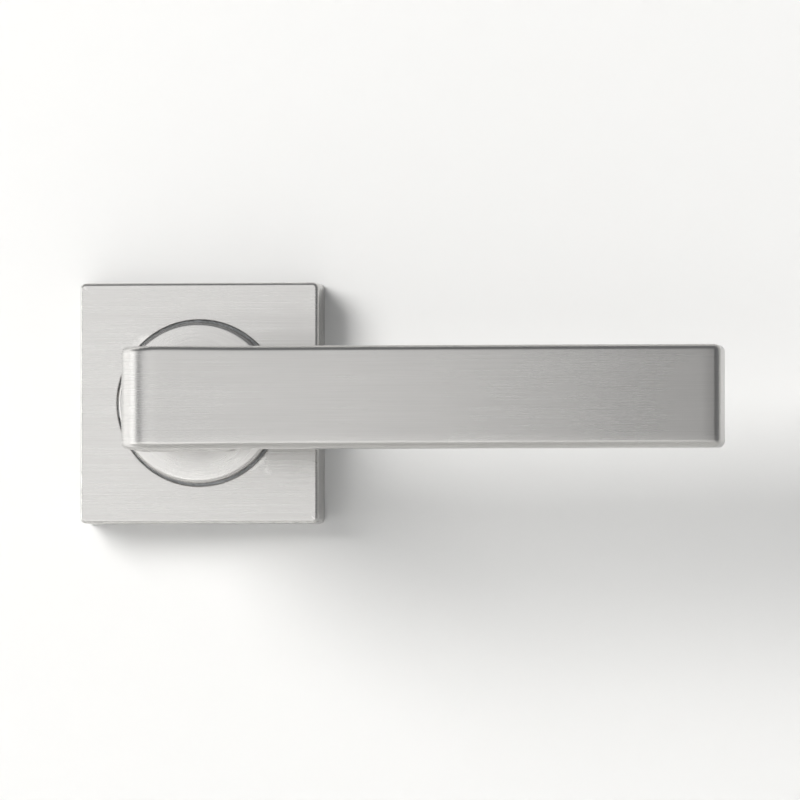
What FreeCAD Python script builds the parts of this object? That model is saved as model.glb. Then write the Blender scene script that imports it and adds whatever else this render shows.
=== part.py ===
import FreeCAD, Part
import math
import os
import Sketcher

# Door lever handle on a square rose, the set for one side of the door.
#
# Frame: the spindle runs along Y through the origin, the door face is the plane Y = 0 and the
# door lies on the +Y side. The lever points along +X and +Z is up. "Rise" is the height above
# the door face, so a point at rise r has Y = -r. Lengths are millimetres, angles are degrees.

SIZES = {
    # square cover of the rose
    "cover_size": 50.0,
    "cover_height": 10.0,
    "cover_wall": 1.2,
    "cover_corner": 1.2,
    "cover_edge": 0.7,
    "cover_fit": 0.15,
    "cover_rest_gap": 0.2,
    "opening_gap": 0.5,
    "notch_width": 6.0,
    "notch_depth": 1.0,
    # how far a cutting outline passes the solid that it cuts
    "cut_past": 1.0,
    # carrier plate under the cover
    "floor_wall": 1.0,
    "bolt_spacing": 38.0,
    "lug_radius": 3.5,
    "lug_length": 8.0,
    "pocket_depth": 4.5,
    "pocket_rib": 1.5,
    # axial stack behind the rotor, counted from the door face
    "ring_inset": 0.3,
    "ring_thickness": 1.0,
    "disc_rise": 0.3,
    "disc_thickness": 0.3,
    "flange_thickness": 0.6,
    "plate_thickness": 0.9,
    "plate_length": 43.0,
    "plate_corner": 3.0,
    "plate_fit": 0.15,
    # spring chambers and rotor
    "hub_radius": 11.0,
    "chamber_inner_gap": 0.3,
    "chamber_outer_radius": 16.5,
    "chamber_angle": 108.0,
    "buffer_angle": 4.0,
    "buffer_play": 0.8,
    "buffer_fit": 0.15,
    "arm_angle": 11.5,
    "turn_gap": 0.1,
    "coil_radius": 1.72,
    "coil_wire": 0.55,
    "coil_turns": 10.0,
    "coil_end_pitch": 1.05,
    # bearings
    "bush_wall": 1.25,
    "press_gap": 0.05,
    "flange_radius": 11.8,
    "running_gap": 0.05,
    "axial_play": 0.1,
    # collar and lever
    "collar_radius": 16.75,
    "collar_thickness": 2.8,
    "collar_edge": 0.9,
    "lever_height": 21.0,
    "lever_thickness": 10.0,
    "lever_reach": 114.0,
    "lever_projection": 56.0,
    "neck_width": 21.0,
    "neck_foot": 19.0,
    "neck_foot_flat": 0.1,
    "neck_square_rise": 27.0,
    "bend_outer": 8.0,
    "bend_inner": 8.0,
    "edge_round": 1.4,
    "shank_radius": 8.0,
    "shank_flat": 6.5,
    "shank_tail": 0.7,
    "groove_depth": 0.4,
    # retaining ring in the groove; the eyes' places are shares of the shank's radius
    "circlip_band": 2.6,
    "eye_across": 0.42,
    "eye_drop": 1.2,
    "eye_radius": 1.6,
    "eye_bore": 0.85,
    "eye_inset": 1.5,
    # spindle and its screw
    "spindle_size": 8.0,
    "spindle_length": 100.0,
    "spindle_depth": 36.0,
    "spindle_chamfer": 0.6,
    "socket_gap": 0.05,
    "socket_end_gap": 0.5,
    "grub_radius": 3.0,
    "grub_length": 6.0,
    "grub_rise": 24.0,
    "grub_key": 3.0,
    "grub_key_depth": 2.5,
    "grub_chamfer": 0.5,
    "thread_gap": 0.05,
    # fixing bolts and plate screws
    "bolt_radius": 2.0,
    "bolt_neck_radius": 1.75,
    "bolt_thread_length": 33.0,
    "bolt_head_radius": 3.8,
    "bolt_head_rim": 0.3,
    "bolt_length": 50.0,
    "bolt_chamfer": 0.4,
    "hole_clearance": 0.2,
    "cone_ledge": 0.02,
    "bolt_sink": 0.2,
    "bolt_key": 2.5,
    "bolt_key_depth": 1.3,
    "screw_radius": 1.25,
    "screw_head_radius": 2.2,
    "screw_head_height": 0.9,
    "screw_length": 4.5,
    "screw_edge_x": 3.5,
    "screw_edge_z": 2.7,
    "screw_slot": 0.5,
    "screw_end_gap": 0.3,
    # leaf clips that hold the cover
    "clip_chord": 11.0,
    "clip_rise": 1.3,
    "clip_strip": 0.4,
    "clip_width": 3.0,
    "clip_back": 3.0,
    "clip_gap": 0.15,
    "clip_touch": 0.02,
}


def dim(name):
    """The sheet cell of a size, for use inside an expression."""
    return "Dims." + name


# Sizes that several pieces share, worked out from the sheet.
HALF_COVER = "Dims.cover_size / 2"
COVER_INNER = "(Dims.cover_size / 2 - Dims.cover_wall)"
CARRIER_HALF = "(Dims.cover_size / 2 - Dims.cover_wall - Dims.cover_fit)"
CARRIER_RISE = "(Dims.cover_height - Dims.cover_wall - Dims.cover_rest_gap)"
RING_FRONT = "(Dims.ring_inset + Dims.ring_thickness)"
FLANGE_BACK = "(" + RING_FRONT + " + Dims.disc_rise + Dims.disc_thickness + Dims.running_gap)"
PLATE_BACK = "(" + FLANGE_BACK + " + Dims.flange_thickness)"
PLATE_FRONT = "(" + PLATE_BACK + " + Dims.plate_thickness)"
FLOOR_BACK = "(" + CARRIER_RISE + " - Dims.floor_wall)"
BUSH_OUTER = "(Dims.shank_radius + Dims.running_gap + Dims.bush_wall)"
BUSH_SEAT = "(" + BUSH_OUTER + " + Dims.press_gap)"
BUSH_INNER = "(Dims.shank_radius + Dims.running_gap)"
CAVITY_RADIUS = "(Dims.hub_radius + Dims.chamber_inner_gap)"
FLANGE_ROOM = "(Dims.flange_radius + Dims.hole_clearance)"
COLLAR_BACK = "(" + CARRIER_RISE + " + Dims.flange_thickness + Dims.axial_play)"
COLLAR_FRONT = "(" + COLLAR_BACK + " + Dims.collar_thickness)"
ROTOR_BACK = "(" + PLATE_FRONT + " + Dims.turn_gap)"
ROTOR_FRONT = "(" + FLOOR_BACK + " - Dims.turn_gap)"
BOLT_X = "Dims.bolt_spacing / 2"
PLATE_HALF = "(Dims.bolt_spacing / 2 - Dims.lug_radius - Dims.pocket_rib)"
SCREW_X = "(" + PLATE_HALF + " - Dims.screw_edge_x)"
SCREW_Z = "(Dims.plate_length / 2 - Dims.screw_edge_z)"
CLIP_TOP = "(" + COVER_INNER + " - Dims.clip_touch)"
CLIP_LEAN = "(1 - 2 * Dims.clip_rise ^ 2 / (Dims.clip_chord ^ 2 / 4 + Dims.clip_rise ^ 2))"
CLIP_SEAT = "(" + CLIP_TOP + " - Dims.clip_rise - Dims.clip_strip * " + CLIP_LEAN + ")"

doc = FreeCAD.newDocument("DoorLeverHandle")
sheet = doc.addObject("Spreadsheet::Sheet", "Dims")
for row, (alias, value) in enumerate(SIZES.items(), start=1):
    sheet.set(f"A{row}", alias)
    sheet.set(f"B{row}", str(value))
    sheet.setAlias(f"B{row}", alias)
doc.recompute()

NODES = []
COIL_STEPS = 14  # points on each turn of a spring
SAME_PLACE = 1e-4  # two lengths closer than this are the same


def new_body(label, several=False):
    """A PartDesign body that becomes one node; several allows separate solids in it."""
    body = doc.addObject("PartDesign::Body", label)
    body.Label = label
    body.AllowCompound = several
    NODES.append(body)
    return body


def new_sketch(body, role, rise="0", turn=None):
    """A sketch on one of the body's origin planes, lifted along its normal or turned about Y."""
    sketch = body.newObject("Sketcher::SketchObject", body.Label + "_sketch")
    plane = next(f for f in body.Origin.OriginFeatures if f.Role == role)
    sketch.AttachmentSupport = [(plane, "")]
    sketch.MapMode = "FlatFace"
    if turn is not None:
        spin = FreeCAD.Rotation(FreeCAD.Vector(0, 1, 0), -1)
        sketch.AttachmentOffset = FreeCAD.Placement(FreeCAD.Vector(), spin)
        sketch.setExpression(".AttachmentOffset.Rotation.Angle", "-(" + turn + ")")
    if rise != "0":
        sketch.setExpression(".AttachmentOffset.Base.z", rise)
    return sketch


def value_of(text):
    """The present value of an expression, used to place new geometry where it will stay."""
    return float(NODES[0].evalExpression(text))


def point_at(across, up):
    return FreeCAD.Vector(value_of(across), value_of(up), 0)


def tie(sketch, point, across, up):
    """Ties a point (geometry, end) to the two coordinates given as expressions."""
    for kind, text in (("DistanceX", across), ("DistanceY", up)):
        now = value_of(text)
        index = sketch.addConstraint(Sketcher.Constraint(kind, -1, 1, point[0], point[1], now))
        sketch.setExpression(f"Constraints[{index}]", text)


def set_radius(sketch, curve, text):
    index = sketch.addConstraint(Sketcher.Constraint("Radius", curve, value_of(text)))
    sketch.setExpression(f"Constraints[{index}]", text)


def polygon(sketch, corners):
    """A closed outline whose corners are pairs of expressions in the sketch's own axes."""
    places = [point_at(across, up) for across, up in corners]
    lines = []
    for start, end in zip(places, places[1:] + places[:1]):
        lines.append(sketch.addGeometry(Part.LineSegment(start, end), False))
    for i, (across, up) in enumerate(corners):
        sketch.addConstraint(Sketcher.Constraint("Coincident", lines[i - 1], 2, lines[i], 1))
        tie(sketch, (lines[i], 1), across, up)


def rectangle(sketch, left, low, right, high):
    polygon(sketch, [(left, low), (right, low), (right, high), (left, high)])


def rounded_square(sketch, half_across, half_up, corner):
    """A rectangle about the origin whose corners are arcs."""
    inner_across = "(" + half_across + " - " + corner + ")"
    inner_up = "(" + half_up + " - " + corner + ")"
    radius = value_of(corner)
    arcs, ends = [], []
    for turn, (sign_across, sign_up) in enumerate((("", ""), ("-", ""), ("-", "-"), ("", "-"))):
        steep = (sign_across + half_across, sign_up + inner_up)
        level = (sign_across + inner_across, sign_up + half_up)
        ends.append([steep, level] if turn in (0, 2) else [level, steep])
        centre = point_at(sign_across + inner_across, sign_up + inner_up)
        ring = Part.Circle(centre, FreeCAD.Vector(0, 0, 1), radius)
        swing = math.pi / 2
        arcs.append(sketch.addGeometry(Part.ArcOfCircle(ring, turn * swing, (turn + 1) * swing), False))
    for turn, arc in enumerate(arcs):
        after = (turn + 1) % 4
        edge = Part.LineSegment(point_at(*ends[turn][1]), point_at(*ends[after][0]))
        line = sketch.addGeometry(edge, False)
        sketch.addConstraint(Sketcher.Constraint("Coincident", arc, 2, line, 1))
        sketch.addConstraint(Sketcher.Constraint("Coincident", line, 2, arcs[after], 1))
        tie(sketch, (arc, 1), *ends[turn][0])
        tie(sketch, (arc, 2), *ends[turn][1])
        set_radius(sketch, arc, corner)


def circle(sketch, radius, across="0", up="0"):
    centre, size = point_at(across, up), value_of(radius)
    index = sketch.addGeometry(Part.Circle(centre, FreeCAD.Vector(0, 0, 1), size), False)
    tie(sketch, (index, 3), across, up)
    set_radius(sketch, index, radius)


def feature(body, kind, sketch, **sizes):
    """Adds one sketch-based feature and checks that it adds or takes away material."""
    doc.recompute()
    before = body.Shape.Volume if body.Tip else 0.0
    made = body.newObject("PartDesign::" + kind, body.Label + "_" + kind.lower())
    made.Profile = sketch
    for name, value in sizes.items():
        if isinstance(value, str) and name in ("Length", "Angle"):
            made.setExpression(name, value)
        else:
            setattr(made, name, value)
    doc.recompute()
    gained = body.Shape.Volume - before
    wanted = -1 if kind in ("Pocket", "Groove") else 1
    if gained * wanted <= 0:
        raise RuntimeError(f"{body.Label}: {kind} changes the volume by {gained}")
    return made


def pad(body, sketch, length, **more):
    return feature(body, "Pad", sketch, Length=length, **more)


def pocket(body, sketch, length=None, **more):
    """Cuts from the sketch towards the door; with no length it cuts right through."""
    if length is None:
        return feature(body, "Pocket", sketch, Type="ThroughAll", **more)
    return feature(body, "Pocket", sketch, Length=length, **more)


def turned(body, corners, cut=False, angle="360", middle=None):
    """Turns an outline of (radius, rise) corners about the spindle axis, wholly or as a sector."""
    sketch = new_sketch(body, "XY_Plane", turn=middle)
    polygon(sketch, [(radius, "-(" + rise + ")") for radius, rise in corners])
    kind = "Groove" if cut else "Revolution"
    sector = middle is not None
    return feature(body, kind, sketch, ReferenceAxis=(sketch, ["V_Axis"]), Angle=angle, Midplane=sector)


def ring_corners(inner, outer, back, front):
    return [(inner, back), (outer, back), (outer, front), (inner, front)]


def dress(body, kind, chosen, size):
    """Fillets or chamfers the edges of the body that the test picks."""
    doc.recompute()
    shape = body.Shape
    names = [f"Edge{i + 1}" for i, edge in enumerate(shape.Edges) if chosen(edge)]
    if not names:
        raise RuntimeError(f"{body.Label}: no edge to {kind.lower()}")
    base = body.Tip
    made = body.newObject("PartDesign::" + kind, body.Label + "_" + kind.lower())
    made.Base = (base, names)
    made.setExpression("Radius" if kind == "Fillet" else "Size", size)
    doc.recompute()
    return made


def size_of(name):
    return value_of(dim(name))


def spans(edge, axis):
    """True if a straight edge runs along the axis, 0 for X, 1 for Y and 2 for Z."""
    if not isinstance(edge.Curve, Part.Line):
        return False
    return abs(abs(edge.Curve.Direction[axis]) - 1) < 1e-6


def lies_at(edge, axis, value):
    box = edge.BoundBox
    low = (box.XMin, box.YMin, box.ZMin)[axis]
    high = (box.XMax, box.YMax, box.ZMax)[axis]
    return abs(low - value) < SAME_PLACE and abs(high - value) < SAME_PLACE


def is_round(edge, radius):
    return abs(getattr(edge.Curve, "Radius", 0) - radius) < SAME_PLACE


def both_sides(text):
    return ("(" + text + ")", "-(" + text + ")")


def add_cover():
    """Pressed square cap with the round opening that the collar turns in."""
    body = new_body("rose_cover")
    outline = new_sketch(body, "XZ_Plane")
    half, less = both_sides(HALF_COVER)
    rectangle(outline, less, less, half, half)
    pad(body, outline, dim("cover_height"))
    dress(body, "Fillet", lambda e: spans(e, 1), dim("cover_corner"))
    inside = new_sketch(body, "XZ_Plane", rise="Dims.cover_height - Dims.cover_wall")
    half, less = both_sides(COVER_INNER)
    rectangle(inside, less, less, half, half)
    pocket(body, inside)
    front = -size_of("cover_height")
    dress(body, "Fillet", lambda e: lies_at(e, 1, front), dim("cover_edge"))
    opening = new_sketch(body, "XZ_Plane", rise=dim("cover_height"))
    circle(opening, "Dims.collar_radius + Dims.opening_gap")
    pocket(body, opening)
    notch = new_sketch(body, "XZ_Plane", rise=dim("notch_depth"))
    half, less = both_sides("Dims.notch_width / 2")
    beyond, within = "(" + HALF_COVER + " + Dims.cut_past)", "(" + COVER_INNER + " - Dims.cover_fit)"
    rectangle(notch, less, "-" + beyond, half, "-" + within)
    pocket(body, notch)


def add_carrier():
    """Die-cast plate that is bolted to the door and holds the bearing and the springs."""
    body = new_body("rose_carrier")
    outline = new_sketch(body, "XZ_Plane")
    half, less = both_sides(CARRIER_HALF)
    rectangle(outline, less, less, half, half)
    pad(body, outline, CARRIER_RISE)
    dress(body, "Fillet", lambda e: spans(e, 1), dim("cover_corner"))
    lugs = new_sketch(body, "XZ_Plane")
    for across in both_sides(BOLT_X):
        circle(lugs, dim("lug_radius"), across)
    pad(body, lugs, dim("lug_length"), Reversed=True)
    turned(body, ring_corners("0", FLANGE_ROOM, "-Dims.cut_past", PLATE_BACK), cut=True)
    recess = new_sketch(body, "XZ_Plane", rise=PLATE_FRONT)
    half, less = both_sides(PLATE_HALF + " + Dims.plate_fit")
    top, bottom = both_sides("Dims.plate_length / 2 + Dims.plate_fit")
    rectangle(recess, less, bottom, half, top)
    pocket(body, recess, PLATE_FRONT)
    turned(body, ring_corners("0", CAVITY_RADIUS, PLATE_FRONT, FLOOR_BACK), cut=True)
    for middle in ("90", "270"):
        chamber = ring_corners(dim("hub_radius"), dim("chamber_outer_radius"), PLATE_FRONT, FLOOR_BACK)
        turned(body, chamber, cut=True, angle=dim("chamber_angle"), middle=middle)
    bore = new_sketch(body, "XZ_Plane", rise=CARRIER_RISE)
    circle(bore, BUSH_SEAT)
    pocket(body, bore)
    bolt_holes(body)
    screws = new_sketch(body, "XZ_Plane", rise=PLATE_BACK + " + Dims.screw_length + Dims.screw_end_gap")
    for across in both_sides(SCREW_X):
        for up in both_sides(SCREW_Z):
            circle(screws, "Dims.screw_radius + Dims.thread_gap", across, up)
    pocket(body, screws)
    clips = new_sketch(body, "XZ_Plane", rise="Dims.clip_back + Dims.clip_width + Dims.clip_gap")
    side, far = "(Dims.clip_chord / 2 + 2 * Dims.clip_gap)", "(" + CARRIER_HALF + " + Dims.cut_past)"
    rectangle(clips, "-" + side, CLIP_SEAT, side, far)
    rectangle(clips, "-" + side, "-" + far, side, "-" + CLIP_SEAT)
    pocket(body, clips, "Dims.clip_width + 2 * Dims.clip_gap")
    corners = new_sketch(body, "XZ_Plane", rise=dim("pocket_depth"))
    near = "(" + PLATE_HALF + " + Dims.plate_fit + Dims.pocket_rib)"
    far = "(" + CARRIER_HALF + " - Dims.pocket_rib)"
    low = "(Dims.lug_radius + 2 * Dims.pocket_rib)"
    for left, right in ((near, far), ("-" + far, "-" + near)):
        for bottom, top in ((low, far), ("-" + far, "-" + low)):
            rectangle(corners, left, bottom, right, top)
    pocket(body, corners)


def bolt_holes(body):
    """Countersunk clearance holes through the carrier and its lugs."""
    sink = "Dims.bolt_head_radius + Dims.hole_clearance"
    holes = new_sketch(body, "XZ_Plane", rise=CARRIER_RISE)
    for across in both_sides(BOLT_X):
        circle(holes, "Dims.bolt_radius + Dims.hole_clearance", across)
    pocket(body, holes)
    seats = new_sketch(body, "XZ_Plane", rise=CARRIER_RISE)
    for across in both_sides(BOLT_X):
        circle(seats, sink, across)
    depth = "Dims.bolt_sink + Dims.bolt_head_rim"
    pocket(body, seats, depth)
    step = value_of("-" + CARRIER_RISE + " + " + depth)
    small = value_of("Dims.bolt_radius + Dims.hole_clearance")

    def is_hole_edge(edge):
        return lies_at(edge, 1, step) and is_round(edge, small)

    dress(body, "Chamfer", is_hole_edge, "Dims.bolt_head_radius - Dims.bolt_radius - Dims.cone_ledge")


def add_bushes():
    """Flanged plastic bushes: the front one in the carrier's face, the rear one in the plate."""
    rear = new_body("rear_bush")
    turned(rear, [
        (BUSH_INNER, FLANGE_BACK),
        (dim("flange_radius"), FLANGE_BACK),
        (dim("flange_radius"), PLATE_BACK),
        (BUSH_OUTER, PLATE_BACK),
        (BUSH_OUTER, PLATE_FRONT),
        (BUSH_INNER, PLATE_FRONT),
    ])
    front = new_body("front_bush")
    flange_front = "(" + CARRIER_RISE + " + Dims.flange_thickness)"
    turned(front, [
        (BUSH_INNER, FLOOR_BACK),
        (BUSH_OUTER, FLOOR_BACK),
        (BUSH_OUTER, CARRIER_RISE),
        (dim("flange_radius"), CARRIER_RISE),
        (dim("flange_radius"), flange_front),
        (BUSH_INNER, flange_front),
    ])


def add_plate():
    """Steel plate that closes the spring chambers from the door side, and its four screws."""
    body = new_body("retaining_plate")
    outline = new_sketch(body, "XZ_Plane", rise=PLATE_BACK)
    half, less = both_sides(PLATE_HALF)
    top, bottom = both_sides("Dims.plate_length / 2")
    rectangle(outline, less, bottom, half, top)
    pad(body, outline, dim("plate_thickness"))
    dress(body, "Fillet", lambda e: spans(e, 1), dim("plate_corner"))
    holes = new_sketch(body, "XZ_Plane", rise=PLATE_FRONT)
    circle(holes, BUSH_SEAT)
    for across in both_sides(SCREW_X):
        for up in both_sides(SCREW_Z):
            circle(holes, "Dims.screw_radius + Dims.hole_clearance", across, up)
    pocket(body, holes)

    screws = new_body("plate_screws", several=True)
    shafts = new_sketch(screws, "XZ_Plane", rise=PLATE_BACK)
    heads = new_sketch(screws, "XZ_Plane", rise=PLATE_BACK + " - Dims.screw_head_height")
    slots = new_sketch(screws, "XZ_Plane", rise=PLATE_BACK + " - Dims.screw_head_height / 2")
    for across in both_sides(SCREW_X):
        for up in both_sides(SCREW_Z):
            circle(shafts, dim("screw_radius"), across, up)
            circle(heads, dim("screw_head_radius"), across, up)
            left = across + " - 2 * Dims.screw_head_radius"
            right = across + " + 2 * Dims.screw_head_radius"
            rectangle(slots, left, up + " - Dims.screw_slot / 2", right, up + " + Dims.screw_slot / 2")
    pad(screws, shafts, dim("screw_length"))
    pad(screws, heads, dim("screw_head_height"))
    pocket(screws, slots)


def add_rotor():
    """Cam disc keyed to the shank; its two arms press the springs."""
    body = new_body("spring_rotor")
    turned(body, ring_corners("0", dim("hub_radius"), ROTOR_BACK, ROTOR_FRONT))
    tip = "(Dims.chamber_outer_radius - Dims.chamber_inner_gap)"
    for chamber in ("90", "270"):
        middle = chamber + " + Dims.chamber_angle / 2 - Dims.buffer_angle - Dims.arm_angle / 2"
        arm = ring_corners(dim("shank_radius"), tip, ROTOR_BACK, ROTOR_FRONT)
        turned(body, arm, angle=dim("arm_angle"), middle=middle)
    keyway = new_sketch(body, "XZ_Plane", rise=ROTOR_FRONT)
    double_flat(keyway, "Dims.shank_radius + Dims.socket_gap", "Dims.shank_flat + Dims.socket_gap")
    pocket(body, keyway)


def double_flat(sketch, radius, flat):
    """A circle cut by two level flats, drawn as two arcs and two lines."""
    round_size, flat_size = value_of(radius), value_of(flat)
    swing = math.asin(flat_size / round_size)
    reach = round_size * math.cos(swing)
    ring = Part.Circle(FreeCAD.Vector(), FreeCAD.Vector(0, 0, 1), round_size)
    right = sketch.addGeometry(Part.ArcOfCircle(ring, -swing, swing), False)
    left = sketch.addGeometry(Part.ArcOfCircle(ring, math.pi - swing, math.pi + swing), False)
    high, low = FreeCAD.Vector(reach, flat_size, 0), FreeCAD.Vector(-reach, flat_size, 0)
    top = sketch.addGeometry(Part.LineSegment(high, low), False)
    bottom = sketch.addGeometry(Part.LineSegment(-high, -low), False)
    joins = ((right, 2, top, 1), (top, 2, left, 1), (left, 2, bottom, 1), (bottom, 2, right, 1))
    for join in joins:
        sketch.addConstraint(Sketcher.Constraint("Coincident", *join))
    for arc in (right, left):
        sketch.addConstraint(Sketcher.Constraint("Coincident", arc, 3, -1, 1))
        set_radius(sketch, arc, radius)
    for line, sign in ((top, ""), (bottom, "-")):
        sketch.addConstraint(Sketcher.Constraint("Horizontal", line))
        size = sketch.addConstraint(Sketcher.Constraint("DistanceY", -1, 1, line, 1, flat_size))
        sketch.setExpression(f"Constraints[{size}]", sign + "(" + flat + ")")


def add_buffers():
    """Small pads that the rotor's arms rest against when the lever is level."""
    for name, chamber in (("upper", "90"), ("lower", "270")):
        body = new_body("stop_buffer_" + name)
        outer = "(Dims.chamber_outer_radius - Dims.buffer_fit)"
        inner = "(" + CAVITY_RADIUS + " + Dims.buffer_fit)"
        pad_corners = ring_corners(inner, outer, ROTOR_BACK, ROTOR_FRONT)
        thick = "(Dims.buffer_angle - Dims.buffer_play)"
        middle = chamber + " + Dims.chamber_angle / 2 - Dims.buffer_angle / 2"
        turned(body, pad_corners, angle=thick, middle=middle)


def add_spring(name, chamber):
    """Compression spring that lies along the arc of its chamber, with closed end turns."""
    half = size_of("chamber_angle") / 2
    start = chamber + half - size_of("buffer_angle") - size_of("arm_angle")
    end = chamber - half
    mean = value_of("(" + CAVITY_RADIUS + " + Dims.chamber_outer_radius) / 2")
    rise = value_of("(" + PLATE_FRONT + " + " + FLOOR_BACK + ") / 2")
    wire, coil = size_of("coil_wire"), size_of("coil_radius")
    play = math.degrees((wire / 2 + size_of("turn_gap")) / mean)
    start, end = start - play, end + play
    closed = math.degrees(wire * size_of("coil_end_pitch") / mean)
    turns = size_of("coil_turns")
    points = []
    for i in range(int((turns + 2) * COIL_STEPS) + 1):
        turn = i / COIL_STEPS
        if turn < 1:
            along = start - closed * turn
        elif turn > turns + 1:
            along = end + closed * (turns + 2 - turn)
        else:
            along = start - closed + (end - start + 2 * closed) * (turn - 1) / turns
        around, place = 2 * math.pi * turn, math.radians(along)
        radius = mean + coil * math.cos(around)
        across = coil * math.sin(around)
        points.append(FreeCAD.Vector(radius * math.cos(place), -(rise + across), radius * math.sin(place)))
    curve = Part.BSplineCurve()
    curve.interpolate(points)
    spine = Part.Wire([curve.toShape()])
    section = Part.Circle(points[0], curve.tangent(curve.FirstParameter)[0], wire / 2)
    coil_shape = spine.makePipeShell([Part.Wire([section.toShape()])], True, True)
    spring = doc.addObject("Part::Feature", name)
    spring.Label = name
    spring.Shape = coil_shape
    spring.Placement = FreeCAD.Placement()
    NODES.append(spring)


def add_collar():
    """Round collar at the foot of the neck; it turns in the cover's opening."""
    body = new_body("collar_ring")
    turned(body, ring_corners(dim("shank_radius"), dim("collar_radius"), COLLAR_BACK, COLLAR_FRONT))
    outer = size_of("collar_radius")
    front = value_of("-" + COLLAR_FRONT)
    dress(body, "Fillet", lambda e: is_round(e, outer) and lies_at(e, 1, front), dim("collar_edge"))


def add_lever():
    """The grip bar, its bend, the neck that turns from square to round, and the turned shank."""
    body = new_body("lever")
    profile = new_sketch(body, "XY_Plane")
    left, right = "-Dims.neck_width / 2", "Dims.neck_width / 2"
    back = "-(Dims.lever_projection - Dims.lever_thickness)"
    front = "-Dims.lever_projection"
    foot = "-Dims.neck_square_rise"
    polygon(profile, [
        (left, foot), (left, front), (dim("lever_reach"), front),
        (dim("lever_reach"), back), (right, back), (right, foot),
    ])
    pad(body, profile, dim("lever_height"), Midplane=True)
    half = size_of("neck_width") / 2
    outer_y = -size_of("lever_projection")
    inner_y = outer_y + size_of("lever_thickness")
    tip = size_of("lever_reach")

    def upright_at(x, y):
        return lambda e: spans(e, 2) and lies_at(e, 0, x) and lies_at(e, 1, y)

    dress(body, "Fillet", upright_at(-half, outer_y), dim("bend_outer"))
    dress(body, "Fillet", upright_at(half, inner_y), dim("bend_inner"))
    dress(body, "Fillet", lambda e: spans(e, 2) and lies_at(e, 0, tip), dim("edge_round"))
    high = size_of("lever_height") / 2
    foot_y = max(v.Point.y for v in body.Shape.Vertexes)

    def on_rim(edge):
        level = lies_at(edge, 2, high) or lies_at(edge, 2, -high)
        return level and not lies_at(edge, 1, foot_y)

    dress(body, "Fillet", on_rim, dim("edge_round"))

    upper = new_sketch(body, "XZ_Plane", rise=dim("neck_square_rise"))
    rounded_square(upper, "(Dims.neck_width / 2)", "(Dims.lever_height / 2)", dim("edge_round"))
    lower = new_sketch(body, "XZ_Plane", rise=COLLAR_FRONT)
    foot_half = "(Dims.neck_foot / 2)"
    rounded_square(lower, foot_half, foot_half, "(" + foot_half + " - Dims.neck_foot_flat)")
    feature(body, "AdditiveLoft", upper, Sections=[lower], Ruled=True)
    shank = new_sketch(body, "XZ_Plane", rise="-Dims.shank_tail")
    circle(shank, dim("shank_radius"))
    pad(body, shank, COLLAR_FRONT + " + Dims.shank_tail")
    flats = new_sketch(body, "XZ_Plane", rise=FLOOR_BACK)
    wide = "(Dims.shank_radius + Dims.cut_past)"
    rectangle(flats, "-" + wide, dim("shank_flat"), wide, wide)
    rectangle(flats, "-" + wide, "-" + wide, wide, "-Dims.shank_flat")
    pocket(body, flats)
    groove_floor = "(Dims.shank_radius - Dims.groove_depth)"
    groove = ring_corners(
        groove_floor, wide,
        "(Dims.ring_inset - Dims.running_gap)", "(" + RING_FRONT + " + Dims.running_gap)",
    )
    turned(body, groove, cut=True)
    socket = new_sketch(body, "XZ_Plane", rise="Dims.spindle_depth + Dims.socket_end_gap")
    side, less = both_sides("Dims.spindle_size / 2 + Dims.socket_gap")
    rectangle(socket, less, less, side, side)
    pocket(body, socket)
    hole = new_sketch(body, "XY_Plane")
    circle(hole, "Dims.grub_radius + Dims.thread_gap", "0", "-Dims.grub_rise")
    pocket(body, hole)


def add_spindle():
    """Square bar that turns the lock's follower, and the socket screw that holds it in the lever."""
    body = new_body("spindle")
    section = new_sketch(body, "XZ_Plane", rise="Dims.spindle_depth - Dims.spindle_length")
    side, less = both_sides("Dims.spindle_size / 2")
    rectangle(section, less, less, side, side)
    pad(body, section, dim("spindle_length"))
    dress(body, "Chamfer", lambda e: spans(e, 1), dim("spindle_chamfer"))
    ends = (-size_of("spindle_depth"), size_of("spindle_length") - size_of("spindle_depth"))
    dress(body, "Chamfer", lambda e: any(lies_at(e, 1, y) for y in ends), dim("spindle_chamfer"))

    screw = new_body("grub_screw")
    face = "-(Dims.spindle_size / 2 + Dims.grub_length)"
    shaft = new_sketch(screw, "XY_Plane", rise=face)
    circle(shaft, dim("grub_radius"), "0", "-Dims.grub_rise")
    pad(screw, shaft, dim("grub_length"))
    key = new_sketch(screw, "XY_Plane", rise=face + " + Dims.grub_key_depth")
    hexagon(key, dim("grub_key"), "0", "-Dims.grub_rise")
    pocket(screw, key)
    dress(screw, "Chamfer", lambda e: is_round(e, size_of("grub_radius")), dim("grub_chamfer"))


def hexagon(sketch, across_flats, across, up):
    """Hexagon with the given key size about the point."""
    corners = []
    for i in range(6):
        turn = str(60 * i)
        reach = "(" + across_flats + ") / 2 / cos(30)"
        corners.append((
            across + " + " + reach + " * cos(" + turn + ")",
            up + " + " + reach + " * sin(" + turn + ")",
        ))
    polygon(sketch, corners)


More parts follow.
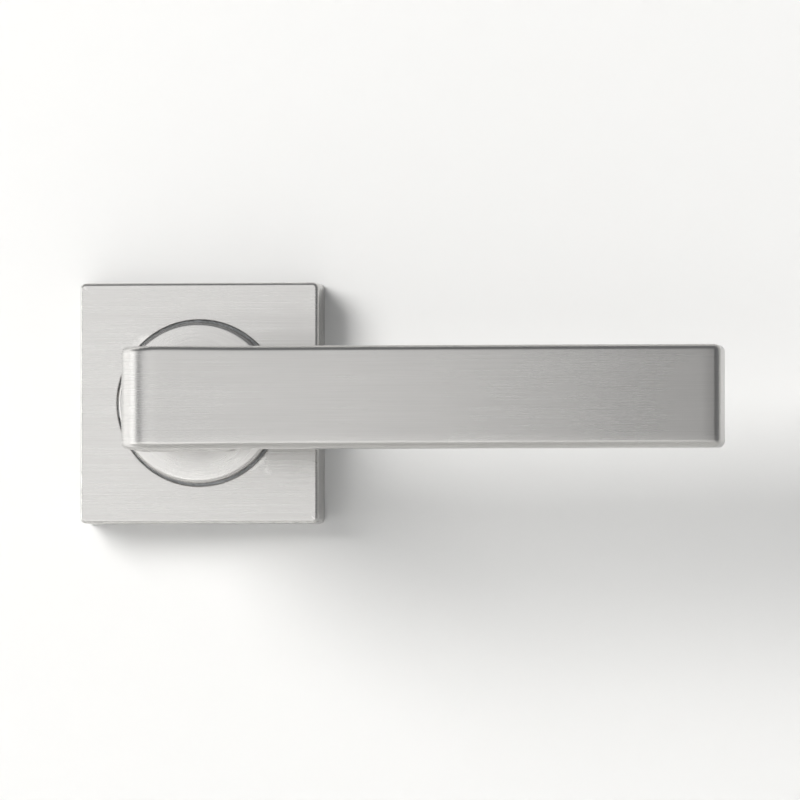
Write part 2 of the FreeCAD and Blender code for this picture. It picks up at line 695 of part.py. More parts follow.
def add_circlip():
    """Retaining ring with two eyes, in the shank's groove."""
    body = new_body("circlip")
    inner = "(Dims.shank_radius - Dims.groove_depth)"
    band = "(" + inner + " + Dims.circlip_band)"
    eye_across, eye_up = "Dims.shank_radius * Dims.eye_across", "-Dims.shank_radius * Dims.eye_drop"
    ring = new_sketch(body, "XZ_Plane", rise=dim("ring_inset"))
    circle(ring, band)
    pad(body, ring, dim("ring_thickness"))
    eyes = new_sketch(body, "XZ_Plane", rise=dim("ring_inset"))
    for across in both_sides(eye_across):
        circle(eyes, dim("eye_radius"), across, eye_up)
    pad(body, eyes, dim("ring_thickness"))
    cuts = new_sketch(body, "XZ_Plane", rise=RING_FRONT)
    circle(cuts, inner)
    pocket(body, cuts)
    gap = new_sketch(body, "XZ_Plane", rise=RING_FRONT)
    side, less = both_sides(eye_across + " - Dims.eye_inset")
    rectangle(gap, less, "-2 * Dims.shank_radius", side, "0")
    pocket(body, gap)
    bores = new_sketch(body, "XZ_Plane", rise=RING_FRONT)
    for across in both_sides(eye_across):
        circle(bores, dim("eye_bore"), across, eye_up)
    pocket(body, bores)


def add_disc_spring():
    """Conical washer that takes up the lever's end play."""
    body = new_body("disc_spring")
    inner = "(Dims.shank_radius + Dims.hole_clearance)"
    outer = "(Dims.flange_radius - Dims.hole_clearance)"
    low, high = RING_FRONT, "(" + RING_FRONT + " + Dims.disc_rise)"
    turned(body, [
        (inner, low),
        (outer, high),
        (outer, "(" + high + " + Dims.disc_thickness)"),
        (inner, "(" + low + " + Dims.disc_thickness)"),
    ])


def add_bolts():
    """Two countersunk machine screws that go through the door; the thread is wider than the neck."""
    body = new_body("fixing_bolts", several=True)
    top = "(" + CARRIER_RISE + " - Dims.bolt_sink)"
    shafts = new_sketch(body, "XZ_Plane", rise=top + " - Dims.bolt_length")
    threads = new_sketch(body, "XZ_Plane", rise=top + " - Dims.bolt_length")
    heads = new_sketch(body, "XZ_Plane", rise=top)
    keys = new_sketch(body, "XZ_Plane", rise=top)
    for across in both_sides(BOLT_X):
        circle(shafts, dim("bolt_neck_radius"), across)
        circle(threads, dim("bolt_radius"), across)
        circle(heads, dim("bolt_head_radius"), across)
        hexagon(keys, dim("bolt_key"), across, "0")
    pad(body, shafts, dim("bolt_length"))
    pad(body, threads, dim("bolt_thread_length"))
    depth = "Dims.bolt_head_radius - Dims.bolt_radius + Dims.bolt_head_rim"
    pad(body, heads, depth, Reversed=True)
    wide = size_of("bolt_head_radius")
    under = value_of("-(" + top + ") + " + depth)
    slope = "Dims.bolt_head_radius - Dims.bolt_radius - Dims.cone_ledge"
    dress(body, "Chamfer", lambda e: is_round(e, wide) and lies_at(e, 1, under), slope)
    pocket(body, keys, dim("bolt_key_depth"))
    tail = value_of("-(" + top + ") + Dims.bolt_length")
    dress(body, "Chamfer", lambda e: lies_at(e, 1, tail), dim("bolt_chamfer"))


def add_clip(name, side):
    """Bowed strip of spring steel between the carrier's edge and the cover's wall."""
    chord, bow, strip = size_of("clip_chord"), size_of("clip_rise"), size_of("clip_strip")
    crest = value_of(CLIP_TOP)
    radius = (chord * chord / 4 + bow * bow) / (2 * bow)
    swing = math.asin(chord / 2 / radius)
    back, width = size_of("clip_back"), size_of("clip_width")

    def arc_point(distance, angle):
        height = crest - radius + distance * math.cos(angle)
        return FreeCAD.Vector(distance * math.sin(angle), -back, side * height)

    def arc_edge(distance):
        ends = [arc_point(distance, angle) for angle in (-swing, 0, swing)]
        return Part.Arc(*ends).toShape()

    outer, inner = radius, radius - strip
    edges = [
        arc_edge(outer),
        Part.makeLine(arc_point(outer, swing), arc_point(inner, swing)),
        arc_edge(inner),
        Part.makeLine(arc_point(inner, -swing), arc_point(outer, -swing)),
    ]
    face = Part.Face(Part.Wire(Part.__sortEdges__(edges)))
    clip = doc.addObject("Part::Feature", name)
    clip.Label = name
    clip.Shape = face.extrude(FreeCAD.Vector(0, -width, 0))
    clip.Placement = FreeCAD.Placement()
    NODES.append(clip)


def write_nodes():
    """Checks every object, then writes one STEP file for each node."""
    doc.recompute()
    for item in doc.Objects:
        if "Invalid" in item.State or "Error" in item.State:
            raise RuntimeError(f"{item.Label} is {item.State}")
    for node in NODES:
        if node.Shape.isNull() or not node.Shape.isValid():
            raise RuntimeError(f"{node.Label} has no valid shape")
    os.makedirs("parts", exist_ok=True)
    for node in NODES:
        node.Shape.exportStep(os.path.join("parts", node.Label + ".step"))
        box = node.Shape.BoundBox
        reach = f"X {box.XMin:.2f} to {box.XMax:.2f}, Y {box.YMin:.2f} to {box.YMax:.2f}"
        print(f"{node.Label}: {len(node.Shape.Solids)} solid(s), {reach}, Z {box.ZMin:.2f} to {box.ZMax:.2f}")


add_cover()
add_carrier()
add_bushes()
add_plate()
add_rotor()
add_buffers()
add_spring("return_spring_upper", 90)
add_spring("return_spring_lower", 270)
add_collar()
add_lever()
add_spindle()
add_circlip()
add_disc_spring()
add_bolts()
add_clip("cover_clip_upper", 1)
add_clip("cover_clip_lower", -1)
write_nodes()
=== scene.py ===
import math

import bmesh
import bpy
import numpy as np
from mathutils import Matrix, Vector


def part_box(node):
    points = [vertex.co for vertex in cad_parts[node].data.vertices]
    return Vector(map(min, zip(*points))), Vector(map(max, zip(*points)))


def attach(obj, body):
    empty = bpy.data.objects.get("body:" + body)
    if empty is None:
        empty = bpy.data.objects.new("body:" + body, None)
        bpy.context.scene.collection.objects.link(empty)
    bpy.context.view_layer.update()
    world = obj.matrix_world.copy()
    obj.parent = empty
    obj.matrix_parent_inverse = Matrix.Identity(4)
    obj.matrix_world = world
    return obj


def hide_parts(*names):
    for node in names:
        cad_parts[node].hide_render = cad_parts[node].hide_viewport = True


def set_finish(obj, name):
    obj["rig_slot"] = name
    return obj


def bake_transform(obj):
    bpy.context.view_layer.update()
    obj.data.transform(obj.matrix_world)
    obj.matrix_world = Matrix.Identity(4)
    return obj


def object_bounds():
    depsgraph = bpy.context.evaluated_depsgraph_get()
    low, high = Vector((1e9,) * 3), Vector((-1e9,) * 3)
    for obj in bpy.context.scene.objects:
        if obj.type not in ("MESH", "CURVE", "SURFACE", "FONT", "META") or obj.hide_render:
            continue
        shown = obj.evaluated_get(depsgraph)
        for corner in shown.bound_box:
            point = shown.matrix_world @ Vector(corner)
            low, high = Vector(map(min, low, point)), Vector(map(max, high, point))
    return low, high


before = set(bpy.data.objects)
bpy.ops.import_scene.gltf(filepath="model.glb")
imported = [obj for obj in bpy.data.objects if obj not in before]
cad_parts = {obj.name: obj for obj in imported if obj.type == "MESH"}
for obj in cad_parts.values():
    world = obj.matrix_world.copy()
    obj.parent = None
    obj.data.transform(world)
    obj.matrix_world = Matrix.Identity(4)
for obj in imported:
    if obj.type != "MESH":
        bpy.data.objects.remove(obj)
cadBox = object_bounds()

mm = 0.001
print("frame loaded")


def nodeBox(name):
    low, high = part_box(name)
    return np.array(low), np.array(high)


def addObject(name, data):
    made = bpy.data.objects.new(name, data)
    bpy.context.scene.collection.objects.link(made)
    return made


# A surface is a list of closed rings. Each ring holds the same number of points, so two rings
# next to each other are joined by one band of four-sided faces.


def bandFaces(ringTotal, around, closedAlong):
    # face (i, j) joins point j of ring i to point j + 1 of ring i + 1, counted round each ring
    bands = ringTotal if closedAlong else ringTotal - 1
    i = np.repeat(np.arange(bands), around)
    j = np.tile(np.arange(around), bands)
    iNext, jNext = (i + 1) % ringTotal, (j + 1) % around
    corners = np.stack([i * around + j, iNext * around + j, iNext * around + jNext, i * around + jNext], 1)
    return corners, i, j


def enclosedVolume(points, corners):
    # the sum of the pyramids from the origin to each half of each face
    a, b, c, d = (points[corners[:, k]] for k in range(4))
    return np.einsum("ij,ij->i", a, np.cross(b, c)).sum() + np.einsum("ij,ij->i", a, np.cross(c, d)).sum()


def ringSurface(name, rings, closedAlong=False, sharp=35.0):
    # rings: (ring, around, 3) in metres. The map's first column is the mean length walked from ring
    # to ring, its second the length walked round the widest ring. Open ends get a pole each.
    ringTotal, around = rings.shape[:2]
    points = rings.reshape(-1, 3)
    quads, i, j = bandFaces(ringTotal, around, closedAlong)
    inward = enclosedVolume(points, quads) < 0
    order = [0, 3, 2, 1] if inward else [0, 1, 2, 3]
    along = np.linalg.norm(np.diff(rings, axis=0), axis=2).mean(1)
    along = np.concatenate([[0.0], np.cumsum(along)])
    if closedAlong:
        along = np.append(along, along[-1] + np.linalg.norm(rings[0] - rings[-1], axis=1).mean())
    girth = np.linalg.norm(rings - np.roll(rings, -1, axis=1), axis=2)
    girth = np.concatenate([np.zeros((ringTotal, 1)), np.cumsum(girth, axis=1)], 1)
    widest = girth[girth[:, -1].argmax()]
    uvQuads = np.stack([
        np.stack([along[i + di], widest[j + dj]], 1) for di, dj in ((0, 0), (1, 0), (1, 1), (0, 1))
    ], 1)
    polys, uvs = [quads[:, order]], [uvQuads[:, order]]
    if not closedAlong:
        step = np.arange(around)
        for ring in (0, ringTotal - 1):
            pole = np.full(around, len(points))
            points = np.vstack([points, rings[ring].mean(0)])
            fan = np.stack([pole, ring * around + step, ring * around + (step + 1) % around], 1)
            edge = np.stack([np.full(around + 1, along[ring]), widest], 1)
            fanUv = np.stack([np.tile(edge[:-1].mean(0), (around, 1)), edge[:-1], edge[1:]], 1)
            if (ring > 0) != inward:
                fan, fanUv = fan[:, ::-1], fanUv[:, ::-1]
            polys.append(fan)
            uvs.append(fanUv)
    mesh = bpy.data.meshes.new(name)
    mesh.from_pydata(points.tolist(), [], [p for part in polys for p in part.tolist()])
    layer = mesh.uv_layers.new(name="surface")
    layer.data.foreach_set("uv", np.concatenate([u.reshape(-1, 2) for u in uvs]).ravel())
    mesh.validate()
    mesh.shade_smooth()
    mesh.set_sharp_from_angle(angle=math.radians(sharp))
    return addObject(name, mesh)


def cutWith(piece, cutter):
    # takes the cutter's volume out of the piece and removes the cutter
    carve = piece.modifiers.new("carve", "BOOLEAN")
    carve.operation, carve.solver, carve.object = "DIFFERENCE", "EXACT", cutter
    graph = bpy.context.evaluated_depsgraph_get()
    made = bpy.data.meshes.new_from_object(piece.evaluated_get(graph))
    piece.modifiers.clear()
    old, piece.data = piece.data, made
    made.name = piece.name
    bpy.data.meshes.remove(old)
    bpy.data.objects.remove(cutter)
    made.set_sharp_from_angle(angle=math.radians(35))


softLook = {"merge": 0.025 * mm, "flat": 1.0, "crease": 30.0, "segments": 2}


def softCopy(node, name, width):
    # a merged copy of a CAD node with its edges rounded; flat stretches are joined first
    shape = bmesh.new()
    shape.from_mesh(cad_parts[node].data)
    bmesh.ops.remove_doubles(shape, verts=shape.verts, dist=softLook["merge"])
    flat, crease = math.radians(softLook["flat"]), math.radians(softLook["crease"])
    bmesh.ops.dissolve_limit(shape, angle_limit=flat, verts=shape.verts, edges=shape.edges)
    mesh = bpy.data.meshes.new(name)
    shape.to_mesh(mesh)
    shape.free()
    mesh.shade_smooth()
    mesh.set_sharp_from_angle(angle=crease)
    piece = addObject(name, mesh)
    ease = piece.modifiers.new("soft edges", "BEVEL")
    ease.width, ease.segments = width, softLook["segments"]
    ease.limit_method, ease.angle_limit = "ANGLE", crease
    ease.harden_normals, ease.use_clamp_overlap = True, True
    return piece


# Every outline has the same number of points: four flats and four corner arcs, starting at the
# middle of the first flat, so a round ring can turn into a square one without a twist.

outline = {"flatSteps": 10, "arcSteps": 8, "easeSteps": 5}


def roundedRing(halfAcross, halfUp, corner):
    # flats at +-half sizes joined by quarter circles of the corner radius
    flat = np.linspace(-1, 1, outline["flatSteps"], endpoint=False)
    arc = np.linspace(0, math.pi / 2, outline["arcSteps"], endpoint=False)
    straightUp, straightAcross = halfUp - corner, halfAcross - corner
    right = np.stack([np.full_like(flat, halfAcross), flat * straightUp], 1)
    rightArc = np.stack([straightAcross + corner * np.cos(arc), straightUp + corner * np.sin(arc)], 1)
    top = np.stack([-flat * straightAcross, np.full_like(flat, halfUp)], 1)
    leftArc = np.stack([-straightAcross - corner * np.sin(arc), straightUp + corner * np.cos(arc)], 1)
    half = np.concatenate([right, rightArc, top, leftArc])
    return np.concatenate([half, -half])


def roundRing(radius):
    # the same points on a circle, each flat and each arc taking an eighth of the turn
    flat = np.linspace(-1, 1, outline["flatSteps"], endpoint=False) * math.pi / 8
    arc = np.linspace(1, 3, outline["arcSteps"], endpoint=False) * math.pi / 8
    quarter = np.concatenate([flat, arc])
    turn = np.concatenate([quarter + math.pi / 2 * k for k in range(4)])
    return radius * np.stack([np.cos(turn), np.sin(turn)], 1)


def flattedRing(radius, flat):
    # a circle whose top and bottom are cut level at the flat's height
    ring = roundRing(radius)
    ring[:, 1] = np.clip(ring[:, 1], -flat, flat)
    return ring


def fourCorners(across, up):
    return [(-across, -up), (across, -up), (across, up), (-across, up)]


def blendRings(first, second, share):
    # each point on the straight line from one ring to the other
    return first * (1 - share) + second * share


def smoothStep(x):
    # 0 to 1 with level ends: three times the square less twice the cube
    x = np.clip(x, 0, 1)
    return x * x * (3 - 2 * x)


def level(ring, rise):
    # an outline laid parallel to the door at that height above it; across runs against +X
    return np.stack([-ring[:, 0], np.full(len(ring), -rise), ring[:, 1]], 1)


def turnedRings(profile, around):
    # a profile of (radius, rise) carried round the spindle's axis
    radius, rise = np.array(profile, float).T
    turn = np.linspace(0, 2 * math.pi, around, endpoint=False)
    return np.stack([
        radius[:, None] * np.cos(turn),
        np.repeat(-rise[:, None], around, 1),
        radius[:, None] * np.sin(turn),
    ], 2)


def easedProfile(corners, ease):
    # a closed (radius, rise) outline with each corner replaced by a quadratic curve, which starts
    # and ends the ease length away from the corner and is pulled towards it
    points = []
    total = len(corners)
    for k in range(total):
        here = np.array(corners[k], float)
        before, after = np.array(corners[k - 1], float), np.array(corners[(k + 1) % total], float)
        cut = ease[k] if isinstance(ease, list) else ease
        toBefore = (before - here) / np.linalg.norm(before - here)
        toAfter = (after - here) / np.linalg.norm(after - here)
        start, end = here + toBefore * cut, here + toAfter * cut
        share = np.linspace(0, 1, outline["easeSteps"] + 1)[:, None]
        points.append((1 - share) ** 2 * start + 2 * share * (1 - share) * here + share ** 2 * end)
    return np.concatenate(points)


def spunRings(radii, stations, centre, axis, side):
    # radii: (station, around), carried round the axis; the side vector is where the turn starts
    radii = np.array(radii, float)
    turn = np.linspace(0, 2 * math.pi, radii.shape[1], endpoint=False)
    axis, side = np.array(axis, float), np.array(side, float)
    other = np.cross(axis, side)
    out = np.cos(turn)[:, None] * side + np.sin(turn)[:, None] * other
    return np.array(centre) + np.array(stations)[:, None, None] * axis + radii[:, :, None] * out


threadShape = {"steepness": 1.25, "crest": 0.12}


def screwThread(stations, around, outer, pitch, depth):
    # The radius at each station and angle: the outer radius less a groove that climbs one pitch in
    # each turn. The groove is a triangle wave cut level at the thread's crest and at its root.
    turn = np.linspace(0, 1, around, endpoint=False)
    climb = (np.array(stations)[:, None] / pitch - turn) % 1.0
    wave = threadShape["steepness"] * (1 - np.abs(2 * climb - 1)) - threadShape["crest"]
    return outer - depth * np.clip(wave, 0, 1)


def joinStations(head, thread, rises, ends):
    # the plain stations before and after a thread, each a row of radii and its height, joined to it
    radii = np.concatenate([[row for row, _ in head], thread, [row for row, _ in ends]])
    return radii, np.concatenate([[height for _, height in head], rises, [height for _, height in ends]])


def hexRing(across, around):
    # the distance to a hexagon's side in each direction
    turn = np.linspace(0, 2 * math.pi, around, endpoint=False)
    return across / 2 / np.cos((turn + math.pi / 6) % (math.pi / 3) - math.pi / 6)


def readAll(items, name, width, kind=float):
    # one property of every item, a row for each
    values = np.empty(len(items) * width, kind)
    items.foreach_get(name, values)
    return values.reshape(-1, width)


def loopData(piece):
    # each face corner's point and its face's normal
    mesh = piece.data
    corner = readAll(mesh.loops, "vertex_index", 1, int)[:, 0]
    total = readAll(mesh.polygons, "loop_total", 1, int)[:, 0]
    normal = np.repeat(readAll(mesh.polygons, "normal", 3), total, axis=0)
    return readAll(mesh.vertices, "co", 3)[corner], normal


def setMap(piece, chosen, across, up):
    # writes the two map columns on the chosen face corners
    layer = piece.data.uv_layers["surface"].data
    uv = readAll(layer, "uv", 2)
    uv[chosen, 0], uv[chosen, 1] = across[chosen], up[chosen]
    layer.foreach_set("uv", uv.ravel())


def swapMap(piece):
    # turns the grain a quarter turn on the map
    layer = piece.data.uv_layers["surface"].data
    layer.foreach_set("uv", readAll(layer, "uv", 2)[:, ::-1].ravel())


def place(piece, node, body, slot):
    # the piece stands in for the node, moves with the body and has the material slot
    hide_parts(node)
    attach(piece, body)
    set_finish(piece, slot)
    return piece


def boxMap(piece):
    # a face is mapped by its place on the plane that it faces most; the grain runs along the first
    # of its two columns
    if "surface" not in piece.data.uv_layers:
        piece.data.uv_layers.new(name="surface")
    point, normal = loopData(piece)
    axis = np.abs(normal).argmax(1)
    for look, across, up in ((0, 2, 1), (1, 0, 2), (2, 0, 1)):
        setMap(piece, axis == look, point[:, across], point[:, up])


leverShape = {
    "thickness": 10.0 * mm, "edge": 1.4 * mm, "outerBend": 8.0 * mm, "innerBend": 8.0 * mm,
    "footRadius": 9.5 * mm, "footEase": 0.35 * mm, "squareRise": 27.0 * mm, "leastCorner": 0.03 * mm,
    "shankRadius": 8.0 * mm, "shankFlat": 6.5 * mm, "flatsTop": 7.6 * mm, "tailEase": 0.3 * mm,
    "grooveRadius": 7.6 * mm, "groove": (0.25 * mm, 1.35 * mm), "grooveStep": 0.03 * mm,
    "socketHalf": 4.05 * mm, "socketCorner": 0.15 * mm, "socketTop": 36.5 * mm,
    "mouthDepth": 0.3 * mm, "mouthFlare": 1.07, "grubRise": 24.0 * mm, "grubHole": 3.05 * mm,
}


def bendPoints(shape, left, halfNeck, back, front):
    # outer and inner outline points through the bend, matched by their share of each length
    share = np.linspace(0, 1, 33)[1:]
    turn = math.pi - share * math.pi / 2
    inner = np.stack([
        halfNeck + shape["innerBend"] * (1 + np.cos(turn)),
        back - shape["innerBend"] * (1 - np.sin(turn)),
    ], 1)
    climb = front - shape["outerBend"] - (back - shape["innerBend"])
    arc = shape["outerBend"] * math.pi / 2
    run = halfNeck + shape["innerBend"] - left - shape["outerBend"]
    far = share * (climb + arc + run)
    angle = np.clip((far - climb) / shape["outerBend"], 0, math.pi / 2)
    outer = np.stack([
        left + shape["outerBend"] * (1 - np.cos(angle)) + np.clip(far - climb - arc, 0, None),
        back - shape["innerBend"] + np.clip(far, None, climb) + shape["outerBend"] * np.sin(angle),
    ], 1)
    return outer, inner


def leanRing(ring, outer, inner):
    # an outline whose across axis runs from the inner point to the outer point
    middle = (outer + inner) / 2
    reach = (outer - inner) / np.linalg.norm(outer - inner)
    x = middle[0] + ring[:, 0] * reach[0]
    rise = middle[1] + ring[:, 0] * reach[1]
    return np.stack([x, -rise, ring[:, 1]], 1)


def makeLever():
    # One closed skin carried along the lever: up out of the spindle socket, round the tail of the
    # shank, up the neck from round to square, round the bend and out to the tip.
    s = leverShape
    low, high = nodeBox("lever")
    left, tip, front, tail = low[0], high[0], -low[1], -high[1]
    halfUp, halfNeck, edge = high[2], -low[0], s["edge"]
    back = front - s["thickness"]
    foot = -nodeBox("collar_ring")[0][1]
    socket = roundedRing(s["socketHalf"], s["socketHalf"], s["socketCorner"])
    shank, flatted = roundRing(s["shankRadius"]), flattedRing(s["shankRadius"], s["shankFlat"])
    grooved = flattedRing(s["grooveRadius"], s["shankFlat"] - s["grooveStep"])
    tailRing = flattedRing(s["shankRadius"] - s["tailEase"], s["shankFlat"] - s["tailEase"])
    grooveBack, grooveFront = s["groove"]
    rings = [
        level(socket * 0.5, s["socketTop"]), level(socket, s["socketTop"]),
        level(socket, s["socketTop"] - 0.2 * mm), level(socket, foot),
        level(socket, tail + s["mouthDepth"]), level(socket * s["mouthFlare"], tail), level(tailRing, tail),
        level(flatted, tail + s["tailEase"]), level(flatted, grooveBack), level(grooved, grooveBack),
        level(grooved, grooveFront), level(flatted, grooveFront), level(flatted, s["flatsTop"]),
        level(shank, s["flatsTop"]), level(shank, foot),
    ]
    ease = s["footEase"]
    for turn in np.linspace(0, math.pi / 2, 6):
        radius = s["footRadius"] - ease * (1 - math.sin(turn))
        rings.append(level(roundRing(radius), foot + ease * (1 - math.cos(turn))))
    square = roundedRing(halfNeck, halfUp, edge)
    for share in np.linspace(0, 1, 25)[1:]:
        rise = foot + ease + (s["squareRise"] - foot - ease) * share
        ring = blendRings(roundRing(s["footRadius"]), square, smoothStep(share))
        rings.append(level(ring, rise))
    for rise in np.linspace(s["squareRise"], back - s["innerBend"], 8)[1:]:
        rings.append(level(square, rise))
    outer, inner = bendPoints(s, left, halfNeck, back, front)
    for o, i in zip(outer, inner):
        rings.append(leanRing(roundedRing(np.linalg.norm(o - i) / 2, halfUp, edge), o, i))
    bar = roundedRing(s["thickness"] / 2, halfUp, edge)
    for x in np.linspace(outer[-1][0], tip - edge, 40)[1:]:
        rings.append(leanRing(bar, np.array([x, front]), np.array([x, back])))
    for turn in np.linspace(0, math.pi / 2, 9)[1:]:
        inset = edge * (1 - math.cos(turn))
        corner = max(edge - inset, s["leastCorner"])
        ring = roundedRing(s["thickness"] / 2 - inset, halfUp - inset, corner)
        x = tip - edge * (1 - math.sin(turn))
        rings.append(leanRing(ring, np.array([x, front]), np.array([x, back])))
    last = rings[-1]
    centre = last.mean(0)
    for share in (0.97, 0.7, 0.4, 0.15):
        rings.append(centre + (last - centre) * share)
    lever = ringSurface("lever_body", np.array(rings), sharp=40)
    point, normal = loopData(lever)
    setMap(lever, normal[:, 0] > 0.9, point[:, 2], point[:, 1])
    hole = spunRings(
        np.full((2, 48), s["grubHole"]), [-1.2 * high[2], -s["socketHalf"] + 0.2 * mm],
        (0, -s["grubRise"], 0), (0, 0, 1), (1, 0, 0),
    )
    cutWith(lever, ringSurface("grub hole", hole))
    return place(lever, "lever", "lever", "satin_steel")


coverShape = {
    "wall": 1.2 * mm, "corner": 1.2 * mm, "edge": 0.7 * mm, "rim": 0.2 * mm,
    "openingGap": 0.5 * mm, "openingEdge": 0.25 * mm, "innerCorner": 0.3 * mm, "footCorner": 0.4 * mm,
    "frontShares": (0.005, 0.01, 0.02, 0.04, 0.08, 0.16, 0.3, 0.5, 0.7, 0.9, 0.985),
    "notchWidth": 6.0 * mm, "notchDepth": 1.0 * mm,
}


def makeCover():
    # One closed skin: up the outside of the wall, over the front to the round opening, back through
    # it and down the inside. Each ring is a rounded square, a circle at the opening, or between them
    # a mix of the two by its share of the way. Rings crowd at the edge, where the front starts.
    s = coverShape
    low, high = nodeBox("rose_cover")
    half, height = high[0], -low[1]
    opening = nodeBox("collar_ring")[1][0] + s["openingGap"]
    inner, corner, edge, rim = half - s["wall"], s["corner"], s["edge"], s["rim"]

    def squareAt(size, rise, roundness):
        return level(roundedRing(size, size, roundness), rise)

    inside, foot = s["innerCorner"], s["footCorner"]
    rings = [squareAt(inner, rim, inside), squareAt(inner + rim, 0, foot)]
    for turn in np.linspace(0, math.pi / 2, 5):
        size = half - rim * (1 - math.sin(turn))
        rings.append(squareAt(size, rim * (1 - math.cos(turn)), corner - (half - size)))
    for rise in np.linspace(rim, height - edge, 6)[1:-1]:
        rings.append(squareAt(half, rise, corner))
    for turn in np.linspace(0, math.pi / 2, 10):
        inset = edge * (1 - math.cos(turn))
        rings.append(squareAt(half - inset, height - edge * (1 - math.sin(turn)), corner - inset))
    flat = roundedRing(half - edge, half - edge, corner - edge)
    mouth = roundRing(opening + s["openingEdge"])
    for share in s["frontShares"]:
        rings.append(level(blendRings(flat, mouth, share), height))
    for turn in np.linspace(0, math.pi / 2, 6):
        radius = opening + s["openingEdge"] * (1 - math.sin(turn))
        rings.append(level(roundRing(radius), height - s["openingEdge"] * (1 - math.cos(turn))))
    ceiling = height - s["wall"]
    rings += [
        level(roundRing(opening), ceiling + 0.05 * mm), level(roundRing(opening + 0.05 * mm), ceiling),
        squareAt(inner - inside, ceiling, foot), squareAt(inner, ceiling - inside, inside),
        squareAt(inner, height / 2, inside),
    ]
    cover = ringSurface("cover_cap", np.array(rings), closedAlong=True, sharp=50)
    wide, deep = s["notchWidth"] / 2, s["notchDepth"]
    box = [[(x, y, z) for x, y in fourCorners(wide, deep)] for z in (-half - mm, -inner + 0.1 * mm)]
    cutWith(cover, ringSurface("notch", np.array(box)))
    boxMap(cover)
    return place(cover, "rose_cover", "cover", "satin_steel")


def makeTurned(name, node, body, slot, corners, ease, around):
    # a (radius, rise) outline with eased corners, turned about the spindle's axis
    piece = ringSurface(name, turnedRings(easedProfile(corners, ease), around), closedAlong=True)
    swapMap(piece)
    return place(piece, node, body, slot)


collarShape = {
    "edge": 0.9 * mm, "crown": 0.12 * mm, "crownFrom": 0.6, "bore": 8.0 * mm,
    "boreEase": 0.1 * mm, "backEase": 0.3 * mm, "crownEase": 1.5 * mm,
}


def makeCollar():
    # a flat disc with a generous outer edge and a faint crown towards the neck
    low, high = nodeBox("collar_ring")
    back, front, radius = -high[1], -low[1], high[0]
    s = collarShape
    corners = [
        (s["bore"], back), (radius, back), (radius, front - s["crown"]),
        (radius * s["crownFrom"], front), (s["bore"], front),
    ]
    ease = [s["boreEase"], s["backEase"], s["edge"], s["crownEase"], s["boreEase"]]
    return makeTurned("collar_disc", "collar_ring", "lever", "satin_steel", corners, ease, 192)


bushShape = {"bore": 8.05 * mm, "wall": 1.25 * mm, "flange": 0.6 * mm, "edge": 0.12 * mm}


def makeBushes():
    # two flanged plastic bushes with softened corners
    s = bushShape
    made = []
    for node in ("rear_bush", "front_bush"):
        low, high = nodeBox(node)
        back, front, flange = -high[1], -low[1], high[0]
        inner, sleeve = s["bore"], s["bore"] + s["wall"]
        if node == "rear_bush":
            step = back + s["flange"]
            outside = [(flange, back), (flange, step), (sleeve, step), (sleeve, front)]
        else:
            step = front - s["flange"]
            outside = [(sleeve, back), (sleeve, step), (flange, step), (flange, front)]
        corners = [(inner, back), *outside, (inner, front)]
        made.append(makeTurned(node + "_ring", node, "rose", "nylon", corners, s["edge"], 96))
    return made


discShape = {"bore": 8.2 * mm, "thickness": 0.3 * mm, "edge": 0.06 * mm}


def makeDiscSpring():
    # a thin cone-shaped washer
    low, high = nodeBox("disc_spring")
    back, front, outer = -high[1], -low[1], high[0]
    inner, thick = discShape["bore"], discShape["thickness"]
    corners = [(inner, back), (outer, front - thick), (outer, front), (inner, back + thick)]
    edge = discShape["edge"]
    return makeTurned("disc_spring_washer", "disc_spring", "lever", "spring_steel", corners, edge, 96)


spindleShape = {"chamfer": 0.6 * mm, "endCorner": 0.3 * mm}


def makeSpindle():
    # a square bar with rounded corners and bevelled ends
    low, high = nodeBox("spindle")
    half, c = high[0], spindleShape["chamfer"]
    body = roundedRing(half, half, c)
    end = roundedRing(half - c, half - c, spindleShape["endCorner"])
    tail, top = -high[1], -low[1]
    stations = [(end * 0.4, tail), (end * 0.96, tail), (end, tail), (body, tail + c)]
    stations += [(body, rise) for rise in np.linspace(tail + c, top - c, 12)[1:-1]]
    stations += [(body, top - c), (end, top), (end * 0.96, top), (end * 0.4, top)]
    bar = ringSurface("spindle_bar", np.array([level(ring, rise) for ring, rise in stations]))
    return place(bar, "spindle", "lever", "zinc_plated_steel")


boltShape = {
    "radius": 2.0 * mm, "neck": 1.75 * mm, "headRadius": 3.8 * mm, "headRim": 0.3 * mm, "pitch": 0.7 * mm,
    "threadDepth": 0.42 * mm, "plainTo": -8.6 * mm, "key": 2.5 * mm, "keyDepth": 1.3 * mm,
    "keyPoint": 0.25 * mm, "keyFlare": 1.06, "bevel": 0.5 * mm, "tipInset": 0.6 * mm, "runInTurns": 1.5,
    "around": 48, "perPitch": 8,
}


